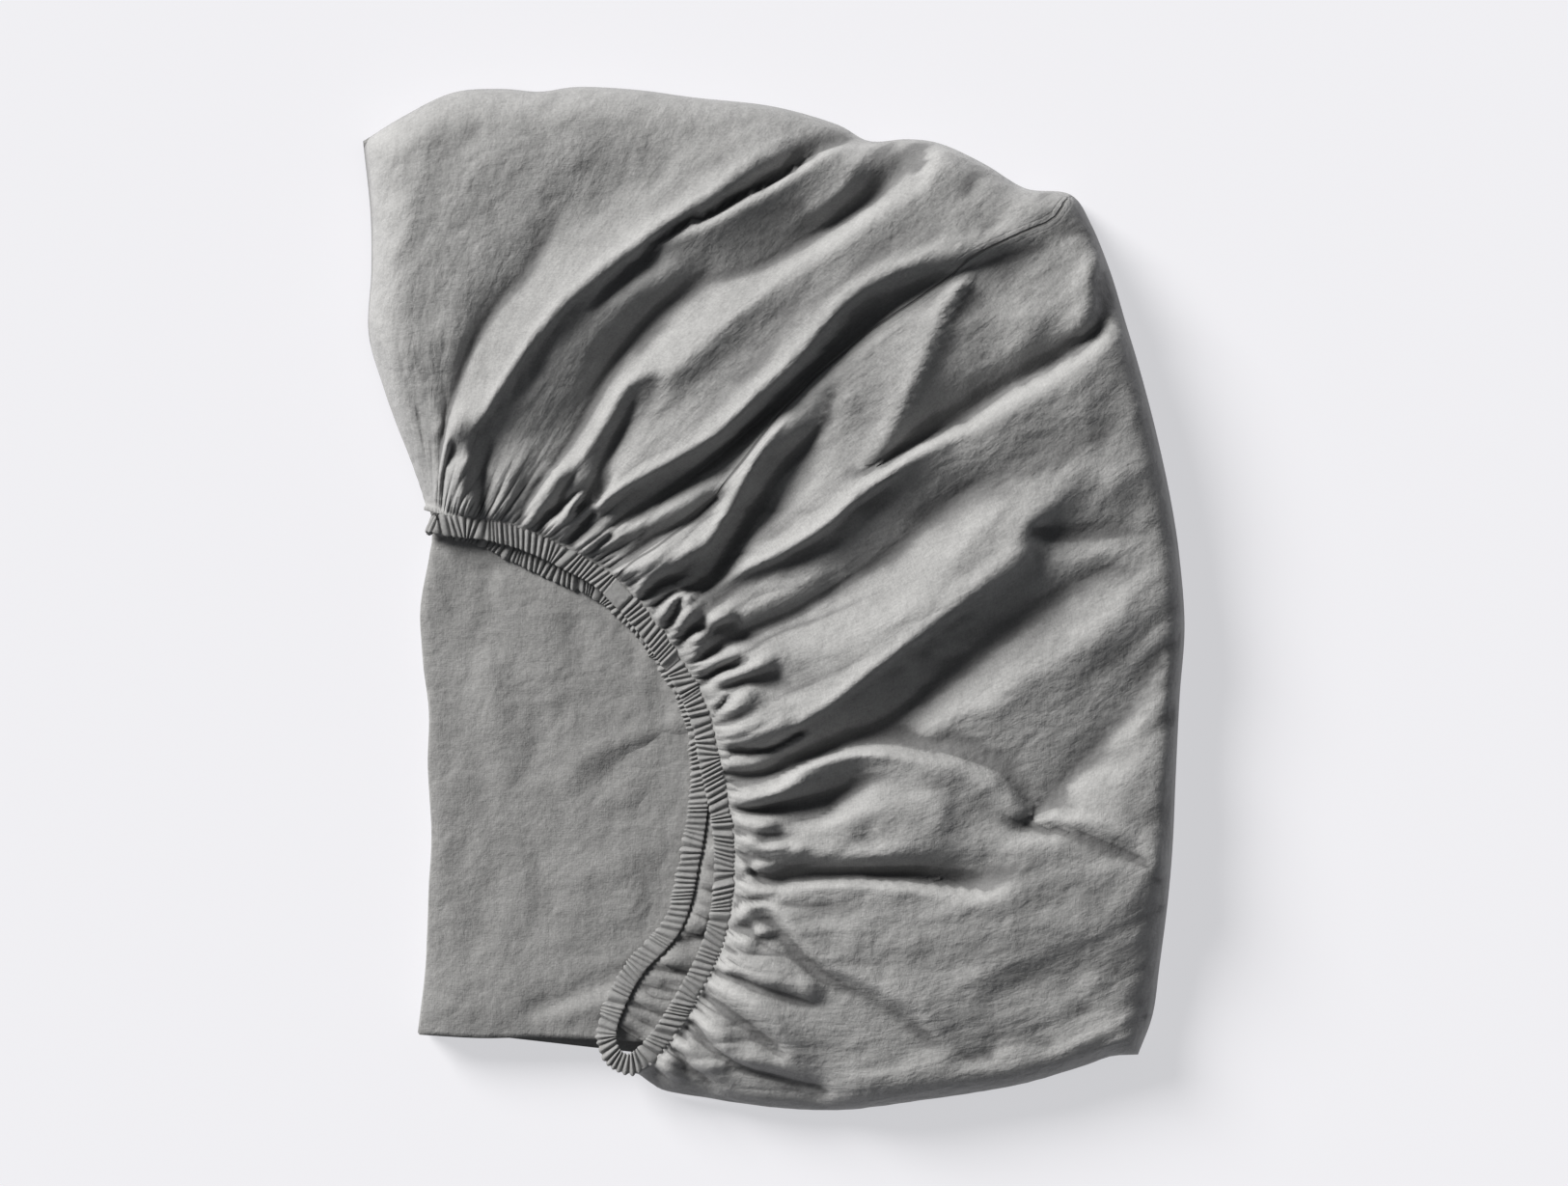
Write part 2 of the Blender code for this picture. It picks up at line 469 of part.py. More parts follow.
class FoldedSheet:
    """The middle surface of the cloth, as rows of points from one elastic edge to the other."""

    def __init__(self):
        front = Curve([on_grid(p) for p in FRONT_BAND])
        back = Curve([on_grid(p) for p in BACK_BAND[::-1]])
        hem_offset = CASING_WIDTH / 2 + CASING_GAP
        self.front_hem = self.hem_of(front, hem_offset, HOOD_LEFT[0])
        self.back_hem = self.hem_of(back, hem_offset, (452, 533))
        self.hood_left, self.rim, self.hood_bottom = map(grid_curve, (HOOD_LEFT, HOOD_RIM, HOOD_BOTTOM))
        self.edge = [self.hood_left.points, self.rim.points, self.hood_bottom.points]
        self.skirt = Patch(self.front_hem, self.rim, self.hood_left, self.hood_bottom)
        panel_left = grid_curve(PANEL_LEFT)
        inner_rim = self.inset_rim(RIM_TUCK + 0.007, grid_curve(PANEL_TOP), grid_curve(PANEL_BOTTOM))
        floor_rim = self.inset_rim(RIM_TUCK, None, None)
        left_points = self.hood_left.side(-0.0015)[14:-6:8]
        floor_left = Curve(np.vstack([panel_left.at(0)[None], left_points, floor_rim.at(0)[None]]))
        self.floor = Patch(panel_left, floor_rim, floor_left, grid_curve(FLOOR_BOTTOM))
        self.panel = Patch(panel_left, inner_rim, grid_curve(PANEL_TOP), grid_curve(PANEL_BOTTOM))
        self.back = Patch(self.back_hem, inner_rim, grid_curve(PANEL_TOP), grid_curve(BACK_SKIRT_BOTTOM))
        self.field = self.make_field(front)

    @staticmethod
    def hem_of(band, offset, start):
        """The cloth's edge beside a band, from where it starts at the fold."""
        moved = band.side(offset)[::5]
        moved[0, :2] = on_grid(start)
        return Curve(moved, per_span=2)

    def inset_rim(self, inset, first, last):
        """The rim moved inwards, with its ends on two side edges where they are given."""
        moved = self.rim.side(-inset)[::10]
        if first is not None:
            moved[0], moved[-1] = first.at(1), last.at(1)
            moved = np.delete(moved, [1, -2], axis=0)
        else:
            moved[0] = self.rim.at(0) + np.array([0.007, -0.006])
            moved[-1] = on_grid(FLOOR_BOTTOM[-1])
        return Curve(moved, per_span=6)

    def make_field(self, front):
        lines, creases = [], []
        for name, points in FOLD_LINES.items():
            placed = np.array([on_grid(p) for p in points])
            lines.append(placed if name in SPREAD_LINES else Curve(placed, per_span=20).points)
            if name.split()[-1] not in SOFT_WORDS:
                creases.append(lines[-1])
        band = front.side(CASING_WIDTH / 2)
        lines.append(band[::2])
        low = np.min([line[:, :2].min(axis=0) for line in self.edge], axis=0)
        high = np.max([line[:, :2].max(axis=0) for line in self.edge], axis=0)
        return FoldField(lines, creases, low, high, FIELD_STEP)

    @staticmethod
    def cap(x, y):
        """The height of the layer under the front skirt."""
        across = ((x - BULGE_CENTRE[0]) / BULGE_REACH[0]) ** 2
        along = ((y - BULGE_CENTRE[1]) / BULGE_REACH[1]) ** 2
        flat = CLOTH_THICKNESS / 2 + FLOOR_LAYERS * LAYER_PITCH
        return flat + BULGE_HEIGHT * np.exp(-across - along)

    def layer_height(self, number, x, y):
        bottom = CLOTH_THICKNESS / 2
        return bottom + (self.cap(x, y) - bottom) * number / FLOOR_LAYERS

    def skirt_point(self, column, row):
        x, y = self.skirt.at(column, row)
        outwards = min(column, 1 - column, 1 - row)
        gap = float(distance_to(self.edge, np.array([x]), np.array([y]))[0]) if outwards > 0 else 0.0
        inwards = min(gap / RIM_ROUND, 1.0)
        share = math.sqrt(1 - (1 - inwards) ** 2)
        corner = smoothstep((row - 0.8) / 0.2)
        side = SIDE_EDGE_HEIGHT + (RIM_HEIGHT - SIDE_EDGE_HEIGHT) * corner
        on_side = 1 - smoothstep(min(column, 1 - column) / 0.03)
        edge_height = RIM_HEIGHT + (side - RIM_HEIGHT) * on_side
        top = max(float(self.field.at(x, y)), float(self.cap(x, y)) + LEAST_SKIRT_GAP)
        height = edge_height + (top - edge_height) * share
        hem = self.front_hem.at(np.interp(column, COLUMN_SHARES, ELASTIC_SHARES))[2]
        near_hem = 1 - smoothstep(row / 0.10)
        return np.array([x, y, height + (hem - height) * near_hem])

    def rim_turn(self, column, inwards):
        """A point where the skirt turns under, between its rim and the floor."""
        top, end = self.skirt_point(column, 1.0), self.layer_point(0, column, 1.0)
        return top * (1 - inwards) + end * inwards - (0, 0, 0.30 * (top[2] - end[2]))

    def layer_point(self, number, column, row):
        patch = self.floor if number == 0 else self.back if number == FLOOR_LAYERS else self.panel
        x, y = patch.at(column, row)
        z = float(self.layer_height(number, x, y))
        if number == 0:
            near_outline = smoothstep(max(0.26 - row, row - 0.78) / 0.22)
            wave = math.sin(math.pi * column * LAYER_COLUMNS / TOUCH_COLUMNS) ** 2
            z += INNER_RISE + (OUTLINE_RISE * wave - INNER_RISE) * near_outline
        if number == FLOOR_LAYERS:
            z += (BACK_HEM_HEIGHT - z) * (1 - smoothstep(row / 0.25))
        return np.array([x, y, z])

    def layer_row(self, number, row):
        return [self.layer_point(number, column, row) for column in np.linspace(0, 1, LAYER_COLUMNS + 1)]

    @staticmethod
    def turn(lower, upper, outwards):
        """Two rows of points round a fold, from the lower layer's end to the upper one's."""
        rows = []
        for angle in (math.pi / 3, 2 * math.pi / 3):
            row = []
            for low, high, out in zip(lower, upper, outwards):
                middle, half = (low + high) / 2, (low - high) / 2
                row.append(middle + half * math.cos(angle) + out * np.linalg.norm(half) * math.sin(angle))
            rows.append(row)
        return rows

    @staticmethod
    def directions(row, before):
        found = []
        for here, there in zip(row, before):
            out = (here - there) * (1, 1, 0)
            found.append(out / np.linalg.norm(out))
        return found

    @staticmethod
    def layer_steps(number):
        """The rows of one layer, as shares of the way from the panel's edge to the rim."""
        if number == 0:
            return (1, 0.78, 0.52, 0.26, 0.02)
        if number == FLOOR_LAYERS:
            return (0.97, 0.84, 0.70, 0.56, 0.42, 0.30, 0.20, 0.10, 0.04, 0)
        if number == FLOOR_LAYERS - 1:
            return (0.02, 0.15, 0.30, 0.50, 0.75, 0.97)
        return (0.02, 0.34, 0.65, 0.97) if number % 2 else (0.97, 0.65, 0.34, 0.02)

    def rows(self):
        """Every row of the middle surface, each with as many columns as the one before, or half."""
        skirt_columns = np.linspace(0, 1, SKIRT_COLUMNS + 1)
        turn_columns = np.linspace(0, 1, TURN_COLUMNS + 1)
        rows = [[self.skirt_point(column, row) for column in skirt_columns] for row in SKIRT_ROWS]
        rows += [[self.rim_turn(column, inwards) for column in turn_columns] for inwards in (0.16, 0.48)]
        for number in range(FLOOR_LAYERS + 1):
            layer = [self.layer_row(number, row) for row in self.layer_steps(number)]
            if number:
                rows += self.turn(rows[-1], layer[0], self.directions(rows[-1], rows[-2]))
            rows += layer
        return rows


def strip(above, below):
    """The faces between two rows, where the second may have half as many columns."""
    if len(above) == len(below):
        return [(above[i], below[i], below[i + 1], above[i + 1]) for i in range(len(above) - 1)]
    return [
        (above[2 * i], below[i], below[i + 1], above[2 * i + 2], above[2 * i + 1])
        for i in range(len(below) - 1)
    ]


def ribbon_mesh(name, rows):
    points, index = [], []
    for row in rows:
        index.append(range(len(points), len(points) + len(row)))
        points += [tuple(p) for p in row]
    faces = [face for above, below in zip(index, index[1:]) for face in strip(above, below)]
    mesh = bpy.data.meshes.new(name)
    mesh.from_pydata(points, [], faces)
    mesh.validate()
    return mesh


def material(name, colour, roughness):
    made = bpy.data.materials.new(name)
    made.use_nodes = True
    shader = made.node_tree.nodes["Principled BSDF"]
    shader.inputs["Base Color"].default_value = (*colour, 1)
    shader.inputs["Roughness"].default_value = roughness
    shader.inputs["Metallic"].default_value = 0
    return made


def add_object(name, mesh, finish):
    obj = bpy.data.objects.new(name, mesh)
    bpy.context.scene.collection.objects.link(obj)
    mesh.materials.append(finish)
    return obj


def make_sheet(finish):
    mesh = ribbon_mesh("sheet", FoldedSheet().rows())
    obj = add_object("sheet", mesh, finish)
    thicken = obj.modifiers.new("Cloth thickness", "SOLIDIFY")
    thicken.thickness = CLOTH_THICKNESS
    thicken.offset = 0
    mesh.shade_smooth()
    return obj


def casing_rings(path):
    """Cross-sections of the shirred casing along the closed path, each carried on from the last."""
    count = 2 * CASING_RIBS
    places = path.at(np.arange(count) / count)
    ahead = path.at(((np.arange(count) + 0.5) / count) % 1) - path.at(((np.arange(count) - 0.5) / count) % 1)
    ahead /= np.linalg.norm(ahead, axis=1)[:, None]
    across = np.array([0.0, 1.0, 0.0])
    rings = []
    for number, (place, forward) in enumerate(zip(places, ahead)):
        across = across - forward * (across @ forward)
        across /= np.linalg.norm(across)
        up = np.cross(forward, across)
        shrink = RIB_SHRINK if number % 2 else 1.0
        ring = []
        for angle in 2 * math.pi * (np.arange(CASING_SIDES) + 0.5) / CASING_SIDES:
            wide = math.cos(angle) * CASING_WIDTH / 2
            high = math.sin(angle) * CASING_HEIGHT / 2
            ring.append(place + (across * wide + up * high) * shrink)
        rings.append(ring)
    return rings


def make_elastic(finish):
    path = Curve([on_grid(p) for p in FRONT_BAND + BAND_TURN + BACK_BAND + END_TURN], closed=True)
    rings = casing_rings(path)
    points = [tuple(p) for ring in rings for p in ring]
    faces = []
    for number in range(len(rings)):
        last = number == len(rings) - 1
        # The casing turns over once at its hidden end, so the last ring meets the first half a turn on.
        shift = CASING_SIDES // 2 if last else 0
        below = ((number + 1) % len(rings)) * CASING_SIDES
        here = number * CASING_SIDES
        for side in range(CASING_SIDES):
            after = (side + 1) % CASING_SIDES
            opposite = (below + (after + shift) % CASING_SIDES, below + (side + shift) % CASING_SIDES)
            faces.append((here + side, here + after, *opposite))
    mesh = bpy.data.meshes.new("elastic_edge")
    mesh.from_pydata(points, [], faces)
    mesh.validate()
    mesh.shade_smooth()
    return add_object("elastic_edge", mesh, finish)


def main():
    clear_scene()
    make_sheet(material("grey linen", (0.30, 0.30, 0.295), 0.9))
    make_elastic(material("shirred linen", (0.29, 0.29, 0.285), 0.9))


main()
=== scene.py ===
import math

import bpy
import numpy as np
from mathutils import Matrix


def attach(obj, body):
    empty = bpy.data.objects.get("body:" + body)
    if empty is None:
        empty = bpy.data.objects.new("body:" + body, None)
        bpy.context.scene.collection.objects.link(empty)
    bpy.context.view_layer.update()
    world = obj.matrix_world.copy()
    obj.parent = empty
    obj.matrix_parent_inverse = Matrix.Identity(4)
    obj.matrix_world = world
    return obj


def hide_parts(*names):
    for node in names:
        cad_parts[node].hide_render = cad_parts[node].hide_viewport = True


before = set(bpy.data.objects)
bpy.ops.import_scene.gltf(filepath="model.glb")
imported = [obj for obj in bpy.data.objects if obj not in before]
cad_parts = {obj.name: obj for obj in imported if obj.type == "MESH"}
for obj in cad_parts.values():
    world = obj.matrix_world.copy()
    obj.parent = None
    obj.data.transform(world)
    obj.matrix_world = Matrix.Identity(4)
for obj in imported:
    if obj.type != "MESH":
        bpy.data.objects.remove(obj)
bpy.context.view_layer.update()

# Places are read on a drawing grid of half-millimetre squares, x to the right and y down the sheet.
SQUARE = 0.0005
GRID_CENTRE = (802.5, 621.5)
MM = 0.001

# The cloth, ply by ply. Ply 0 lies lowest, plies 1 to TOP_PLY are the flat panel, and the next is the skirt's back.
PLY_THICKNESS = 0.0005
TOP_PLY = 23
PLY_REST = 0.0005
PANEL_TOP_HEIGHT = 0.0189
BACK_PLY_HEIGHT = 0.0206
BULGE_HEIGHT = 0.002
BULGE_CENTRE = (0.090, 0.020)
BULGE_REACH = (0.110, 0.150)
FOLD_EDGE_WANDER = 0.0016

# The elastic in its shirred casing.
CASING_WIDTH = 0.0112
CASING_HEIGHT = 0.0042
CASING_ROUNDNESS = 0.72
SEAM_CROSSING = (645, 613)
SEAM_CROSSING_RADIUS = 0.004
CASING_SIDES = 16
HEM_LAP = 0.0006
HEM_DROP = 0.0007
RIB_SPACING = 0.0029
RIB_DEPTH = 0.0026
RIB_RINGS = 6
RUFFLE = 0.0016

# The rounded outer edge of the skirt.
RIM_HEIGHT = 0.0065
RIM_ROUND = 0.022
STEEP_RIM_ROUND = 0.013
RIM_TUCK = 0.009
RIM_PUCKER = 0.0034
SIDE_EDGE_HEIGHT = 0.0032
LEAST_SKIRT_GAP = 0.0020
INNER_RIM_INSET = RIM_TUCK + 0.007
# Rows of the turn from the rim to the floor's edge: how far along each lies and how far it sags, as shares.
RIM_TURN = [(0.10, 0.20), (0.28, 0.32), (0.52, 0.30), (0.78, 0.16)]

# Mesh density.
HEM_COLUMNS = 512
SKIRT_COLUMNS = 256
TURN_COLUMNS = 128
PLY_COLUMNS = 64
SKIRT_ROWS = 70
HEM_ROWS = 38
FIELD_STEP = 0.001
BATCH = 4000

# Outlines on the drawing grid, as (x, y).
HOOD_LEFT = [
    (444, 529), (436, 503), (424, 470), (412, 440), (398, 400), (383, 345), (386, 280), (385, 220),
    (378, 148),
]
HOOD_RIM = [
    (378, 148), (420, 122), (470, 98), (520, 94), (560, 97), (600, 92), (660, 95), (720, 103), (800, 112),
    (865, 130), (900, 148), (940, 146), (975, 151), (1020, 172), (1062, 197), (1108, 203), (1130, 235),
    (1150, 285), (1165, 335), (1180, 385), (1197, 450), (1212, 520), (1221, 580), (1226, 650), (1221, 720),
    (1217, 800), (1214, 870), (1209, 930), (1200, 1000), (1193, 1050), (1178, 1091),
]
HOOD_BOTTOM = [
    (655, 1109), (672, 1122), (690, 1131), (740, 1139), (800, 1147), (850, 1150), (900, 1147), (950, 1140),
    (1000, 1133), (1060, 1122), (1120, 1104), (1150, 1093), (1178, 1091),
]
PANEL_LEFT = [
    (452, 553), (443, 590), (434, 640), (435, 690), (441, 740), (440, 800), (443, 870), (440, 920),
    (437, 1000), (431, 1068),
]
PANEL_TOP = [
    (452, 553), (462, 525), (458, 490), (447, 455), (437, 430), (424, 400), (408, 345), (410, 280),
    (410, 220), (410, 187),
]
PANEL_BOTTOM = [
    (431, 1068), (500, 1072), (560, 1071), (625, 1074), (720, 1078), (850, 1082), (1000, 1078), (1100, 1070),
    (1150, 1060),
]
FLOOR_BOTTOM = [
    (431, 1068), (500, 1070), (560, 1069), (625, 1071), (650, 1086), (672, 1112), (700, 1130), (800, 1143),
    (900, 1143), (1000, 1129), (1120, 1100), (1164, 1086),
]
BACK_SKIRT_BOTTOM = [
    (650, 1084), (675, 1099), (715, 1108), (760, 1112), (850, 1112), (1000, 1093), (1100, 1075), (1150, 1060),
]

# The elastic's centre line, as (x, y, height in mm).
FRONT_BAND = [
    (458, 544, 27.6), (475, 547, 27.6), (505, 550, 27.6), (535, 557, 27.6), (565, 568, 27.6), (595, 583, 27.6),
    (625, 600, 27.6), (648, 622, 27.6), (670, 648, 27.6), (690, 675, 27.6), (707, 702, 27.6), (720, 727, 27.6),
    (729, 752, 27.6), (734, 780, 27.6), (740, 808, 27.6), (746, 835, 27.6), (750, 865, 27.6), (751, 895, 27.6),
    (749, 925, 27.6), (745, 952, 27.6), (737, 978, 27.6), (726, 1002, 27.6), (713, 1026, 27.4), (699, 1050, 26.8),
    (683, 1073, 26.0), (667, 1090, 25.0), (652, 1097, 24.0),
]
BAND_TURN = [(638, 1090, 23.4), (631, 1074, 23.0)]
BACK_BAND = [
    (633, 1055, 23.0), (641, 1034, 23.4), (652, 1012, 23.8), (664, 994, 24.0), (680, 978, 24.0), (694, 962, 24.0),
    (704, 942, 24.0), (710, 920, 23.8), (714, 900, 23.4), (719, 875, 23.0), (723, 850, 22.6), (726, 820, 22.4),
    (728, 795, 22.4), (725, 760, 22.4), (716, 730, 22.4), (703, 703, 22.4), (686, 675, 22.4), (666, 649, 22.4),
    (643, 626, 22.4), (618, 608, 22.4), (594, 598, 22.4), (575, 590, 22.4), (555, 581, 22.4), (535, 571, 22.4),
    (515, 560, 22.4), (490, 552, 22.4), (472, 548, 22.4), (458, 545, 22.4),
]
END_TURN = [(452, 544, 23.2), (450, 543, 25.0), (452, 543, 26.8)]

# Crest and valley lines of the skirt's folds, as (x, y, height in mm).
FOLD_LINES = {
    "left body": [
        (434, 475, 29), (430, 415, 32), (434, 350, 35), (446, 288, 37), (466, 232, 38), (505, 178, 39),
        (555, 142, 39), (620, 126, 38), (700, 126, 37), (780, 128, 34), (850, 140, 28),
    ],
    "left face": [
        (455, 440, 30), (474, 380, 33), (500, 320, 35.5), (528, 272, 36.5), (552, 232, 38), (572, 195, 39.5),
        (590, 160, 40),
    ],
    "left slit": [(426, 440, 31), (430, 470, 27), (437, 508, 26)],
    "first valley": [
        (600, 172, 41), (591, 205, 38), (575, 240, 35.5), (560, 270, 33.5), (546, 292, 32.5), (515, 325, 31),
        (500, 350, 30), (486, 380, 29), (470, 430, 27.5), (458, 510, 26.5),
    ],
    "first crest": [
        (488, 480, 38), (497, 450, 43), (512, 425, 47), (550, 368, 50), (590, 320, 51), (615, 299, 51),
        (650, 269, 51), (700, 239, 50), (745, 204, 49), (785, 173, 45), (805, 163, 39),
    ],
    "first slot": [
        (620, 322, 40), (655, 284, 37), (700, 247, 33), (730, 230, 30), (760, 214, 28), (790, 201, 27),
        (820, 185, 27), (850, 165, 26), (880, 153, 25),
    ],
    "top slit": [(785, 151, 37), (820, 144, 31), (850, 139, 28), (880, 147, 25)],
    "second crest": [
        (690, 262, 43), (740, 236, 47), (772, 217, 49), (802, 202, 50), (832, 182, 49), (854, 167, 45),
        (880, 156, 37),
    ],
    "second dip": [
        (505, 520, 29), (520, 480, 33), (545, 440, 36), (575, 400, 39), (610, 355, 41), (650, 315, 42),
        (700, 285, 42),
    ],
    "second valley": [
        (735, 291, 34), (702, 315, 31), (685, 328, 30), (668, 345, 29), (650, 365, 28), (636, 385, 28),
        (622, 410, 29), (602, 447, 29), (570, 497, 28), (545, 530, 27),
    ],
    "upper valley": [
        (942, 158, 31), (926, 187, 33), (905, 207, 33), (880, 227, 33), (850, 246, 33), (826, 260, 33),
        (800, 276, 33), (770, 288, 33), (735, 293, 34),
    ],
    "upper crest": [(899, 151, 34), (893, 168, 42), (884, 186, 45), (868, 208, 45), (840, 228, 44)],
    "third crest": [
        (680, 392, 44), (655, 402, 45), (640, 425, 44), (622, 455, 42), (600, 490, 38), (577, 530, 32),
    ],
    "third slit": [
        (664, 410, 41), (655, 427, 38), (646, 448, 35), (634, 472, 32), (620, 500, 29), (600, 530, 27),
    ],
    "fourth crest": [
        (592, 556, 31), (618, 528, 38), (645, 509, 44), (700, 479, 49), (745, 451, 51), (785, 413, 53),
        (825, 376, 54), (860, 336, 54), (890, 307, 54), (940, 282, 53), (1000, 262, 49), (1060, 243, 42),
    ],
    "fourth face": [
        (690, 395, 48), (740, 350, 48), (800, 305, 48), (860, 262, 48), (920, 225, 47), (980, 200, 43),
    ],
    "seam valley": [
        (620, 566, 28), (670, 528, 28), (730, 486, 28), (760, 459, 29), (790, 434, 29), (820, 405, 30),
        (850, 378, 31), (880, 352, 33), (910, 330, 35), (945, 307, 37.5), (985, 291, 40), (1035, 271, 40.5),
        (1085, 254, 38), (1115, 243, 32),
    ],
    "low rise": [(618, 577, 31), (645, 556, 35), (682, 537, 37), (718, 519, 38), (745, 500, 38)],
    "low valley": [(640, 590, 28), (680, 560, 29), (715, 540, 30), (745, 517, 31)],
    "fifth crest": [
        (690, 598, 35), (712, 589, 39), (731, 572, 43), (745, 548, 45), (758, 525, 47), (773, 498, 48),
        (788, 472, 48), (806, 448, 48), (820, 434, 43),
    ],
    "upper rise": [(838, 416, 42), (862, 392, 42), (900, 362, 42), (960, 325, 43)],
    "deep valley": [
        (716, 613, 27), (735, 608, 26), (750, 586, 26), (765, 558, 26), (783, 528, 27), (803, 500, 28),
        (823, 475, 30), (842, 455, 33), (856, 432, 36), (859, 400, 42),
    ],
    "deep rise": [(800, 560, 36), (830, 530, 38), (850, 500, 39), (870, 460, 40), (880, 420, 43)],
    "corner crest": [
        (993, 300, 47), (975, 330, 49), (962, 360, 50), (952, 385, 50), (940, 410, 50), (925, 440, 49),
        (910, 466, 45), (894, 486, 43),
    ],
    "corner valley": [
        (898, 489, 40), (920, 475, 34), (950, 460, 31), (980, 444, 30), (1000, 431, 29), (1030, 412, 29),
        (1060, 395, 29), (1090, 378, 30), (1110, 365, 31), (1130, 346, 34), (1144, 331, 36),
    ],
    "sixth crest": [
        (736, 616, 31), (760, 599, 37), (780, 587, 40), (802, 578, 44), (832, 561, 47), (862, 541, 49),
        (882, 521, 50), (905, 504, 51), (932, 484, 52), (962, 465, 52), (1000, 449, 51),
    ],
    "sixth ridge": [
        (1015, 438, 50.5), (1032, 427, 49.5), (1062, 410, 48.5), (1092, 395, 47.5), (1118, 377, 46),
        (1145, 350, 42), (1158, 325, 37),
    ],
    "sixth face": [(1000, 478, 49), (1035, 462, 49), (1080, 440, 48.5), (1125, 412, 47), (1162, 380, 41)],
    "sixth valley": [
        (1012, 500, 41), (1002, 508, 38), (985, 520, 35), (960, 536, 33), (930, 566, 33), (900, 588, 31),
        (870, 606, 31), (830, 632, 30), (800, 645, 29), (770, 659, 28), (745, 671, 27), (730, 681, 27),
    ],
    "seventh ridge": [(730, 655, 30), (760, 640, 35), (800, 622, 37), (850, 597, 38)],
    "eighth crest": [
        (752, 768, 34), (780, 771, 38), (800, 764, 43), (822, 751, 47), (842, 737, 49), (867, 721, 51),
        (887, 704, 53), (932, 669, 54), (985, 628, 56), (1010, 607, 56), (1030, 585, 55), (1045, 565, 54),
    ],
    "eighth ridge": [(1050, 558, 53.5), (1075, 530, 52), (1100, 504, 49), (1122, 485, 45)],
    "eighth face": [
        (750, 712, 34), (800, 696, 39), (850, 681, 43), (900, 655, 47), (950, 615, 49), (1000, 560, 50),
        (1060, 505, 49),
    ],
    "eighth valley": [
        (752, 797, 25), (770, 800, 25), (795, 799, 25), (815, 795, 25), (835, 786, 26), (855, 778, 26),
        (875, 769, 27), (900, 758, 28), (930, 738, 29), (960, 715, 30), (990, 692, 31), (1020, 668, 33),
        (1060, 640, 34), (1100, 612, 35), (1150, 583, 36),
    ],
    "cross crease": [(1064, 549, 44), (1090, 553, 38), (1140, 556, 37), (1180, 552, 36)],
    "cross rise": [(1075, 575, 42), (1120, 578, 40), (1165, 575, 38)],
    "ninth rise": [
        (960, 758, 38), (1000, 737, 40), (1050, 707, 42), (1100, 676, 43), (1150, 641, 43), (1195, 602, 39),
    ],
    "tenth hollow": [(905, 764, 32), (950, 766, 34), (995, 776, 36), (1035, 797, 38), (1058, 830, 37)],
    "ninth valley": [
        (1200, 690, 33), (1180, 712, 31), (1150, 747, 30), (1120, 785, 30), (1100, 808, 30), (1080, 829, 31),
        (1055, 849, 34),
    ],
    "right rise": [(1205, 760, 37), (1165, 798, 40), (1125, 828, 40), (1098, 843, 39)],
    "tenth crest": [
        (795, 818, 41), (808, 810, 42), (820, 799, 43), (842, 788, 45), (872, 780, 46), (900, 778, 48),
        (940, 781, 49), (980, 790, 49), (1010, 800, 47), (1036, 815, 46), (1058, 842, 42),
    ],
    "tenth valley": [
        (765, 837, 26), (780, 837, 27), (800, 834, 27), (820, 830, 28), (850, 824, 29), (880, 815, 32),
        (902, 802, 38),
    ],
    "bright knoll": [(888, 838, 41), (925, 830, 46), (960, 822, 51), (972, 845, 51), (960, 872, 45)],
    "knoll dip": [(896, 846, 42), (902, 872, 40)],
    "tip crest": [
        (1070, 845, 41), (1090, 844, 44), (1130, 850, 45), (1160, 861, 44), (1187, 881, 43), (1203, 903, 38),
    ],
    "tip slit": [(1064, 855, 36), (1082, 857, 36), (1110, 858, 39), (1140, 871, 39), (1180, 886, 38)],
    "tenth rise": [(790, 868, 35), (830, 862, 38), (860, 852, 40), (885, 842, 43)],
    "eleventh rise": [
        (775, 880, 33), (800, 885, 38), (850, 884, 40), (900, 881, 42), (950, 880, 43), (1000, 877, 43),
        (1050, 869, 44), (1090, 866, 44),
    ],
    "eleventh valley": [
        (803, 909, 27), (850, 904, 26), (900, 903, 26), (950, 905, 26), (990, 910, 28), (1014, 912, 32),
    ],
    "twelfth crest": [
        (775, 925, 34), (800, 921, 38), (830, 914, 40), (870, 911, 43), (920, 913, 44), (970, 920, 45),
        (1005, 926, 45), (1040, 922, 45), (1080, 906, 44), (1120, 899, 43), (1170, 897, 40), (1200, 905, 35),
    ],
    "long edge": [
        (780, 934, 39), (803, 936, 43), (817, 950, 44), (832, 968, 44), (852, 989, 44), (872, 1001, 43),
        (902, 1013, 42), (932, 1028, 41), (948, 1038, 40), (970, 1062, 37), (1005, 1092, 29),
    ],
    "long dip": [
        (793, 947, 35), (807, 961, 35), (822, 979, 35), (842, 1001, 35), (866, 1015, 35), (898, 1028, 35),
        (928, 1043, 34), (957, 1068, 32),
    ],
    "left knoll": [(765, 960, 34), (790, 965, 37), (815, 985, 38), (840, 1005, 39)],
    "thirteenth valley": [
        (740, 1003, 26), (755, 1004, 28), (772, 1009, 31), (785, 1015, 33), (800, 1020, 34), (820, 1026, 34),
        (840, 1032, 35), (868, 1038, 37),
    ],
    "thirteenth rise": [
        (755, 997, 37), (772, 1001, 40), (785, 1007, 41), (800, 1011, 42), (820, 1017, 42), (840, 1023, 42),
    ],
    "fourteenth valley": [
        (726, 1022, 26), (738, 1030, 27), (752, 1041, 28), (765, 1049, 28), (775, 1055, 28), (785, 1063, 28),
        (797, 1074, 28), (808, 1086, 28),
    ],
    "fourteenth rise": [(775, 1042, 37), (790, 1052, 38), (805, 1065, 38), (820, 1082, 36), (850, 1100, 31)],
    "bottom crease": [
        (713, 1056, 25), (722, 1053, 26), (730, 1066, 26), (740, 1079, 26), (752, 1087, 26), (775, 1101, 25),
        (790, 1107, 24), (810, 1112, 23), (830, 1119, 21), (850, 1127, 17),
    ],
